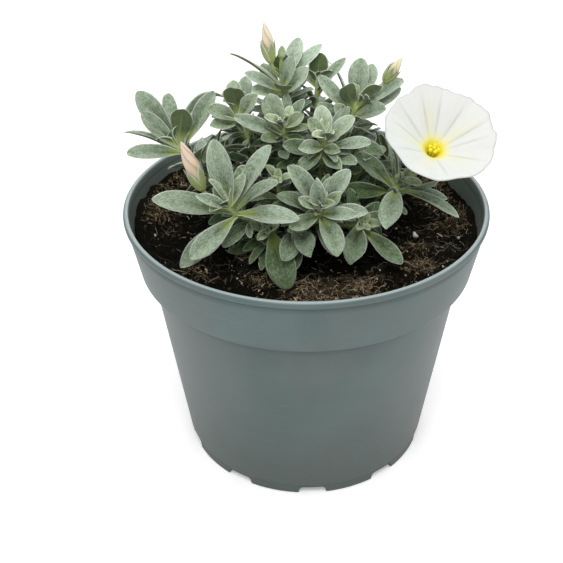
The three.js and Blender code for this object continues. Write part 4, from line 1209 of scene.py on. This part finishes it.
# Shoots
LEAF_ROWS = np.array([0.01, 0.06, 0.13, 0.21, 0.29, 0.37, 0.45, 0.53, 0.61, 0.69, 0.77, 0.84, 0.9, 0.945,
                      0.975, 0.993])
LEAF_TOP = np.array([-1, -0.84, -0.5, -0.16, 0, 0.16, 0.5, 0.84, 1])
LEAF_UNDER = np.array([0.84, 0.4, 0.13, 0, -0.13, -0.4, -0.84])
PLAIN_ROWS = np.array([0.02, 0.15, 0.3, 0.45, 0.6, 0.74, 0.86, 0.94, 0.985])
PLAIN_TOP = np.array([-1, -0.5, 0, 0.5, 1])
PLAIN_UNDER = np.array([0.5, 0, -0.5])
LEAF_MARGIN = 0.3
LEAF_RIB = 0.4
RIB_GROOVE = 0.22


def finer_form(leaf, rng):
    """The leaf with an outline and a roll of its own, and the leaves that show their backs turned over."""
    shows_back = leaf.get("shows_back", False)
    outline = (rng.uniform(1.55, 1.9), 0.52 if shows_back else rng.uniform(0.48, 0.64))
    roll = 0 if shows_back else rng.normal(0, 13) * DEG
    if leaf.get("edge_on", False):
        roll = EDGE_ON_ROLL
    face = side_of(leaf["along"], -VIEW_NEAR) if shows_back else leaf["face"]
    face = face * math.cos(roll) + np.cross(leaf["along"], face) * math.sin(roll)
    side = np.cross(leaf["along"], face)
    fold = 0.06 if shows_back else leaf["fold"] + rng.uniform(0.05, 0.3)
    grown = BACK_GROWTH if shows_back else 1
    # Strongly bent leaves take only a quarter of the back's dark colour, which is partly painted shade
    dull = 0.25 if leaf["bend"] > 0.5 else 1
    return {**leaf, "outline": outline, "face": face, "side": side, "fold": fold, "dull": dull,
            "length": grown * leaf["length"], "width": grown * leaf["width"]}


def fine_leaf(leaf, rng, rows=LEAF_ROWS, top=LEAF_TOP, below=LEAF_UNDER):
    """The same leaf as in the frame, with a thin round margin, a sunken rib, and waves."""
    s, a = np.meshgrid(rows, np.concatenate([top, below]), indexing="ij")
    under = np.concatenate([np.zeros(len(top)), np.ones(len(below))])
    under[[0, len(top) - 1]] = 0.5
    size = leaf["width"] / 2
    taper = np.clip(np.minimum(4 * (1 - s), 0.5 + 3 * s), 0.35, 1)
    groove = RIB_GROOVE * np.exp(-((a / 0.15) ** 2)) * (1 - s) ** 0.5 * (1 - under)
    thick = LEAF_MARGIN + LEAF_RIB * np.exp(-((a / 0.2) ** 2)) * (1 - 0.7 * s)
    thick = np.where(np.abs(a) > 0.99, 0.5 * LEAF_MARGIN, thick) * taper * under
    phase, waves = rng.uniform(0, 2 * np.pi, 2), rng.uniform(1.0, 2.0)
    wave = 0.1 * size * a**2 * np.sin(2 * np.pi * waves * s + np.where(a > 0, phase[0], phase[1]))
    twist = rng.normal(0, 0.2) * (s - 0.3) * a * size
    trough = leaf["fold"] * rng.uniform(0.6, 1.4) * size * (np.abs(a) - 0.5)
    trough = trough * np.exp(-(((s - 0.3) / 0.3) ** 2))
    droop = -rng.uniform(0, 0.07) * leaf["length"] * np.maximum(0, s - 0.55) ** 2 / 0.2
    lift = wave + twist + trough + droop - groove - thick
    points = leaf_points(leaf, s, a, lift, lambda x: np.sqrt(x * x + 0.01) - 0.05)
    half = half_width(leaf, s)
    start, end = points[0].mean(axis=0), 1.4 * points[-1].mean(axis=0) - 0.4 * points[-2].mean(axis=0)
    shift = rng.uniform(0, 90)
    # Higher leaves get a higher tint: more silver, and lighter as painted light
    high = ((start[2] + end[2]) / 2 - LOW_GREEN_AND_SHADED) / (HIGH_SILVER_AND_LIT - LOW_GREEN_AND_SHADED)
    tint = np.clip(rng.uniform(-0.25, 0.25) + 0.28 + 0.5 * high, 0, 1)
    part = loft(points, start, end, across=np.abs(a), along=s, under=leaf["dull"] * under, tint=tint,
                youth=leaf["youth"], shade=leaf["shade"], wide_mm=a * half + shift,
                long_mm=s * leaf["length"] + shift, edge_mm=(1 - np.abs(a)) * half)
    part["margins"] = points[:, [0, len(top) - 1]]
    return part


def leaf_hairs(leaf, margins, rng):
    """Short pale hairs along both margins, each one a slim spike with three sides."""
    count = int(HAIRS_PER_MM * leaf["length"])
    place = rng.uniform(0.5, len(margins) - 1.01, count)
    row, share = place.astype(int), (place % 1)[:, None]
    edge = rng.integers(0, 2, count)
    ahead = margins[row + 1, edge] - margins[row, edge]
    root = margins[row, edge] + ahead * share
    ahead /= np.linalg.norm(ahead, axis=1)[:, None]
    out = leaf["side"] * (2 * edge - 1)[:, None] + leaf["face"] * rng.normal(0, 0.5, count)[:, None]
    way = out + ahead * rng.uniform(0.6, 2.0, count)[:, None]
    way /= np.linalg.norm(way, axis=1)[:, None]
    length = rng.uniform(0.3, HAIR_LENGTH, count)[:, None]
    wide = ahead * HAIR_WIDTH
    thick = np.cross(ahead, way) * HAIR_WIDTH
    root = root - way * 2 * HAIR_WIDTH
    points = np.stack([root - wide, root + wide, root + thick, root + way * length], axis=1).reshape(-1, 3)
    tris = (4 * np.arange(count)[:, None, None] + SPIKE).reshape(-1, 3)
    return faceted(points, tris, across=1, along=0.5, under=0.3, tint=0.5, youth=leaf["youth"])


def green_skin(rings, start, end, wide_step, long_step, **values):
    """A stem, a stalk or a cup in the leaf's material, its hairs lying along it."""
    count, sides = rings.shape[:2]
    return loft(rings, start, end, wide_mm=wide_step * np.arange(sides), edge_mm=2,
                long_mm=long_step * np.arange(count)[:, None], **values)


def fine_stem(shoot):
    x, y = shoot["foot"]
    lower = [np.array([x, y, soil_height(x, y) + depth]) for depth in np.linspace(-STEM_DEPTH, 1.0, 5)]
    points = lower + list(cubic(stem_bend(shoot), np.linspace(0, 1, 26)))
    order = np.arange(len(points))
    share = np.clip((order - len(lower)) / 25, 0, 1)
    radii = STEM_FOOT_RADIUS + share * (STEM_TIP_RADIUS - STEM_FOOT_RADIUS)
    knots = 1 + 0.1 * np.sin(order * 2.4)
    woody = np.clip(1.0 - 2.5 * share, 0, 1)[:, None]
    return green_skin(rings_along(points, radii * knots, STEM_SIDES), points[0], points[-1], 0.6, 1.6,
                      across=0.6, along=0.25, under=0.2, tint=0.6, woody=woody, youth=1)


def heart_leaves(shoot, rng):
    """The smallest leaves, still upright and folded in the middle of the rosette."""
    axis = aimed(shoot["aim"])
    spin = rng.uniform(0, 360)
    made = []
    for i in range(HEART_LEAVES):
        turn = (GOLDEN_ANGLE * i + spin) * DEG
        along = leaning(axis, turn, (6 + 4.5 * i + rng.uniform(-3, 3)) * DEG)
        length = 5.0 + 0.85 * i
        leaf = aim_leaf(along_stem(shoot, 0.2), along, axis, length, 0.4 * length, 24 * DEG, 0.45)
        made.append({**leaf, "youth": 1.0 - 0.08 * i, "shade": 0.0})
    return made


def filler_leaves(shoot, seed):
    """Smaller leaves on the stem inside the bush, wherever there is room for one."""
    rng = np.random.default_rng(seed)
    axis = aimed(shoot["aim"])
    made = []
    for _ in range(FILLER_TRIES):
        down = rng.uniform(3, 34)
        along = leaning(axis, rng.uniform(0, 2 * np.pi), rng.uniform(30, 80) * DEG)
        length = rng.uniform(11, 23)
        leaf = aim_leaf(along_stem(shoot, down), along, axis, length, rng.uniform(0.22, 0.32) * length,
                        rng.uniform(5, 20) * DEG, rng.uniform(0.12, 0.3))
        points = sampled(leaf)
        away = (points - BUSH_CENTRE) / BUSH_REACH
        inside = np.linalg.norm(away, axis=1).max() <= FILLER_REACH
        if inside and finds_room(leaf, shoot["name"], FILLER_CLEARANCE):
            made.append({**leaf, "youth": 0.0, "shade": depth_in_bush(points[MIDDLE_SAMPLE])})
    return made


def sepal(place, body, length, lap, turn, rng):
    """A pointed sepal pressed to the round body that it holds; body gives that body's radius by height."""
    t, a = np.meshgrid(SEPAL_ROWS, np.concatenate([SEPAL_ACROSS, SEPAL_ACROSS[-2:0:-1]]), indexing="ij")
    inner = np.arange(a.shape[1]) >= len(SEPAL_ACROSS)
    half_angle = SEPAL_SPREAD * DEG * np.maximum(1 - t**1.8, 0.02)
    thick = 0.35 * (1 - 0.6 * t) * np.where(inner, 0, 1) * (1 - 0.5 * a**2)
    flare = rng.uniform(0.2, 0.9) * t**5
    radius = body(t * length) + 0.16 * lap + 0.12 + flare + thick
    lean = rng.uniform(-4, 4) * DEG * t
    angle = (lap * 144 + turn) * DEG + lean + a * half_angle
    shift = rng.uniform(0, 90)
    return loft(on_frame(place, angle, radius, t * length - 0.4), across=np.abs(a), along=0.08 + 0.45 * t,
                under=np.where(inner, 0.8, 0.25), tint=rng.uniform(0.4, 0.9), youth=1, woody=0.3,
                wide_mm=1.8 * a + shift, long_mm=t * length + shift, edge_mm=3.2 * (1 - np.abs(a)) * (1 - t))


def receptacle(place, radius):
    """The small cup at the end of the stalk that the sepals grow from."""
    levels = [(0.8, -0.9), (0.4 * radius, -0.4), (0.62 * radius, 0.3), (0.55 * radius, 1.0)]
    rings = np.array([on_frame(place, ring_angles(CUP_SIDES), wide, height) for wide, height in levels])
    return green_skin(rings, on_axis(place, -1.1), on_axis(place, 1.0), 0.4, 0.8,
                      across=0.5, along=0.2, under=0.3, tint=0.5, youth=0.7)


def fine_stalk(shoot, place):
    start = along_stem(shoot, 0.8)
    reach = np.linalg.norm(place["base"] - start)
    neck = on_axis(place, -0.45 * reach)
    lead = start + aimed(shoot["aim"]) * 0.3 * reach
    points = list(cubic((start, lead, neck, on_axis(place, 0.6)), np.linspace(0, 1, 16)))
    rings = rings_along(points, np.full(16, STALK_RADIUS), STEM_SIDES)
    return green_skin(rings, points[0], points[-1], 0.5, 1.0, across=0.4, along=0.2, under=0.3, tint=0.5,
                      youth=0.5)


def calyx(shoot, place, body, radius, length, rng):
    """The stalk, cup and five sepals under a bud or the bloom."""
    parts = [fine_stalk(shoot, place), receptacle(place, radius)]
    turn = rng.uniform(0, 72)
    return parts + [sepal(place, body, length * rng.uniform(0.88, 1.05), lap, turn, rng) for lap in range(5)]


def young_bud_part():
    place, length, radius = YOUNG_BUD["frame"], YOUNG_BUD["length"], YOUNG_BUD["radius"]
    rings = np.array([on_frame(place, ring_angles(CUP_SIDES), share * radius, level * length)
                      for share, level in YOUNG_BUD_SHAPE])
    return green_skin(rings, on_axis(place, -0.3), on_axis(place, length), 0.5, 1.0,
                      across=0.6, along=0.8, under=0.1, tint=0.6, youth=0.5)


def tube_radius(height):
    """The bloom's radius where its calyx holds it."""
    return np.interp(height, [0, 1, 3, 6, 10, 12], [1.4, 3.0, 3.6, 3.6, 5.2, 6.2])


def bud_body(bud):
    """The radius of a bud by its height over its foot."""
    shape = smooth_path(BUD_SHAPE, 6)
    heights, radii = shape[:, 1] * bud["length"], shape[:, 0] * FINE_BUD * bud["radius"]
    return lambda height: np.interp(height, heights, radii)


def make_shoot(shoot, seed):
    rng = np.random.default_rng(seed)
    parts = [fine_stem(shoot)]
    if shoot["name"] == BLOOM["shoot"]:
        parts += calyx(shoot, BLOOM["frame"], tube_radius, BLOOM_CALYX_RADIUS, 1.35 * BLOOM_CALYX_HEIGHT, rng)
    for bud in BUDS:
        if bud["shoot"] == shoot["name"]:
            sepals = bud["sepals"] * bud["length"]
            parts += calyx(shoot, bud["frame"], bud_body(bud), FINE_BUD * bud["radius"], sepals, rng)
    if shoot["name"] == YOUNG_BUD["shoot"]:
        parts += [fine_stalk(shoot, YOUNG_BUD["frame"]), young_bud_part()]
    for leaf in LEAVES[shoot["name"]] + heart_leaves(shoot, rng):
        finer = finer_form(leaf, rng)
        blade = fine_leaf(finer, rng)
        parts += [blade, leaf_hairs(finer, blade["margins"], rng)]
    for leaf in filler_leaves(shoot, seed):
        parts.append(fine_leaf(finer_form(leaf, rng), rng, PLAIN_ROWS, PLAIN_TOP, PLAIN_UNDER))
    add_piece(shoot["name"].replace("shoot", "spray"), parts, LEAF, [shoot["name"]])


# Bloom
def smooth_path(points, steps):
    """Points on a curve through the given ones."""
    points = np.array(points, float)
    padded = np.concatenate([2 * points[:1] - points[1:2], points, 2 * points[-1:] - points[-2:-1]])
    result = []
    for i in range(len(points) - 1):
        a, b, c, d = padded[i:i + 4]
        for t in np.arange(steps) / steps:
            bend = (2 * a - 5 * b + 4 * c - d) * t**2 + (3 * b - a - 3 * c + d) * t**3
            result.append(0.5 * (2 * b + (c - a) * t + bend))
    return np.array(result + [points[-1]])


def crease_depth(angle, reach):
    """How near each spot is to a crease, from 0 to 1; all creases are equally wide from end to end."""
    near = np.zeros(np.broadcast(angle, reach).shape)
    for crease in BLOOM_CREASES_DEG:
        away = np.abs((angle - crease * DEG + np.pi) % (2 * np.pi) - np.pi)
        near = np.maximum(near, np.exp(-((away * np.maximum(reach, 0.1) / 0.022) ** 2)))
    return near


def bloom_surface(place, profile, angle, wall, inside):
    reach, level = profile[:, :1], profile[:, 1:]
    wide = np.maximum(0, (reach - TUBE_SHARE) / (1 - TUBE_SHARE))
    scallops = sum(depth * np.sin(count * angle + turn) for depth, count, turn in EDGE_SCALLOPS)
    edge = wide**3 * scallops
    radius = reach * BLOOM_RADIUS * (1 + 0.025 * wide * np.cos(5 * angle)) - wall[:, :1] + edge
    crease = crease_depth(angle, reach) * wide**0.5
    sink = 0.28 * crease * np.sin(np.pi * np.clip(reach, 0, 1)) ** 0.6
    height = level * BLOOM_DEPTH + 0.5 * wide * np.cos(10 * angle) + wall[:, 1:] - sink + 1.5 * edge
    rings = on_frame(place, angle, radius, height)
    values = {"reach": reach, "crease": crease, "band": (0.5 + 0.5 * np.cos(5 * angle)) ** 3,
              "around": angle / (2 * np.pi) * 5, "inside": inside}
    return rings, {key: np.broadcast_to(value, rings.shape[:2]) for key, value in values.items()}


def make_bloom():
    """One sheet folded at the edge: up the outside and down the inside, thicker in the tube."""
    place = BLOOM["frame"]
    profile = smooth_path(FINE_BLOOM_PROFILE, 7)
    angle = ring_angles(BLOOM_SIDES)[None, :]
    thin = np.clip((profile[:, :1] - TUBE_SHARE) / 0.2, 0, 1)
    wall = np.concatenate([0.75 * (1 - thin) + 0.1 * thin, 0.1 * (1 - thin) + 0.42 * thin], axis=1)
    outer, outer_values = bloom_surface(place, profile, angle, np.zeros((len(profile), 2)), 0.0)
    inner, inner_values = bloom_surface(place, profile, angle, wall, 1.0)
    rings = np.concatenate([outer, inner[::-1]])
    values = {key: np.concatenate([outer_values[key], inner_values[key][::-1]]) for key in outer_values}
    part = loft(rings, on_axis(place, BLOOM_FOOT - 0.6), on_axis(place, BLOOM_FOOT + 0.3), **values)
    add_piece("corolla", [part], PETAL, ["bloom"])


def stamen_rod(place, angle, reach, top, thick, head):
    foot = on_frame(place, angle, 0.2 * reach, BLOOM_FOOT + 0.6 + SEAT_GAP)
    tip = on_frame(place, angle, reach, top)
    shares = [0, 0.25, 0.5, 0.68, 0.74, 0.8, 0.87, 0.94, 0.985]
    radii = [thick, 0.8 * thick, 0.75 * thick, 0.7 * thick, 0.8 * head, head, head, 0.85 * head, 0.4 * head]
    points = [foot + (tip - foot) * share for share in shares]
    return loft(rings_along(points, radii, 12, 0.18), points[0], tip)


def make_stamens():
    place = BLOOM["frame"]
    rods = [stamen_rod(place, 0, 0, 12.6, 0.45, 0.75)]
    for i, angle in enumerate(ring_angles(STAMEN_COUNT) + np.pi / STAMEN_COUNT):
        rods.append(stamen_rod(place, angle, 2.1, 11.4 + 0.6 * (i % 3), 0.38, 0.85))
    add_piece("anthers", rods, STAMEN, ["stamens"])


# Buds
def make_bud(bud, seed):
    """Petals rolled to a point, five of them, each lapping over the next."""
    rng = np.random.default_rng(seed)
    place, length = bud["frame"], bud["length"]
    level = smooth_path(BUD_SHAPE, 6)[5:, 1:]
    angle = ring_angles(BUD_SIDES)[None, :]
    turns = (5 * angle / (2 * np.pi) + 2.6 * level + rng.uniform()) % 1
    lap = (0.12 * turns**2 - 0.05) * np.clip(5 * (level - 0.3), 0, 1) * np.clip(6 * (1 - level), 0.3, 1)
    radius = bud_body(bud)(level * length) * (1 + lap) - 0.1
    rings = on_frame(place, angle, radius, level * length)
    part = loft(rings, on_axis(place, level[0, 0] * length), on_axis(place, length), along=level, fold=turns)
    add_piece(f"{bud['name']}_petals", [part], BUD_LOOKS[bud["name"]], [bud["name"]], crease=40)


make_pot()
make_soil()
SOIL_STREAM = np.random.default_rng(11)
for strew in (peat_on_soil, threads_on_soil, wood_on_soil, perlite_on_soil):
    strew(SOIL_STREAM)
for number, shoot in enumerate(SHOOTS):
    make_shoot(shoot, 500 + number)
make_bloom()
make_stamens()
for number, bud in enumerate(BUDS):
    make_bud(bud, 700 + number)


# Floor, light and camera
def make_floor():
    """A pale floor, a little brighter to the camera alone, so that it blends into the backdrop."""
    reach = FLOOR_REACH * MM
    corners = [(x * reach, y * reach, 0) for x, y in ((-1, -1), (1, -1), (1, 1), (-1, 1))]
    mesh = bpy.data.meshes.new("floor")
    mesh.from_pydata(corners, [], [(0, 1, 2, 3)])
    sh = Shader("white_floor")
    colour = sh.mix(sh.grain(0.002, 2.0), (0.93, 0.93, 0.93), (0.95, 0.95, 0.95))
    glow = FLOOR_GLOW * sh.node("LightPath", "Is Camera Ray")
    mesh.materials.append(sh.finish(base_color=colour, roughness=0.9, emission_color=(1, 1, 1),
                                    emission_strength=glow))
    link("floor", mesh)


def add_light(name, place, size, power, colour=(1, 1, 1)):
    lamp = bpy.data.lights.new(name, "AREA")
    lamp.shape = "DISK"
    lamp.size = size
    lamp.energy = power
    lamp.color = colour
    light = link(name, lamp)
    light.location = place
    light.rotation_euler = (Vector(LIT_PLACE) - Vector(place)).to_track_quat("-Z", "Y").to_euler()


def light_scene():
    """Soft light from above and from both sides; the backdrop itself shows plain white."""
    scene = bpy.context.scene
    world = bpy.data.worlds.new("studio")
    world.use_nodes = True
    tree = world.node_tree
    sky = tree.nodes["Background"]
    sky.inputs["Color"].default_value = (1, 1, 1, 1)
    seen = tree.nodes.new("ShaderNodeLightPath")
    strength = tree.nodes.new("ShaderNodeMapRange")
    strength.inputs["To Min"].default_value = WORLD_STRENGTH
    strength.inputs["To Max"].default_value = 1.0
    tree.links.new(seen.outputs["Is Camera Ray"], strength.inputs["Value"])
    tree.links.new(strength.outputs["Result"], sky.inputs["Strength"])
    scene.world = world
    scene.view_settings.view_transform = "Standard"
    add_light("key", (-0.05, -0.55, 1.0), 0.5, 5.5, (1.0, 0.99, 0.98))
    add_light("overhead", (0.05, 0.2, 1.1), 0.5, 2.0)
    add_light("left", (-0.9, 0.0, 0.5), 0.6, 0.9)
    add_light("right", (0.9, 0.0, 0.5), 0.6, 1.3)
    add_light("back", (0.0, 0.95, 0.5), 0.6, 2.5)


def place_camera():
    data = bpy.data.cameras.new("camera")
    data.lens = CAMERA_LENS
    data.sensor_width = SENSOR_WIDTH
    data.clip_start = 0.01
    camera = link("camera", data)
    back = np.cross(CAMERA_RIGHT, CAMERA_UP)
    turn = Matrix([list(axis) for axis in (CAMERA_RIGHT, CAMERA_UP, back)]).transposed()
    camera.matrix_world = Matrix.Translation(Vector(CAMERA_PLACE) * MM) @ turn.to_4x4()
    bpy.context.scene.camera = camera


make_floor()
light_scene()
place_camera()
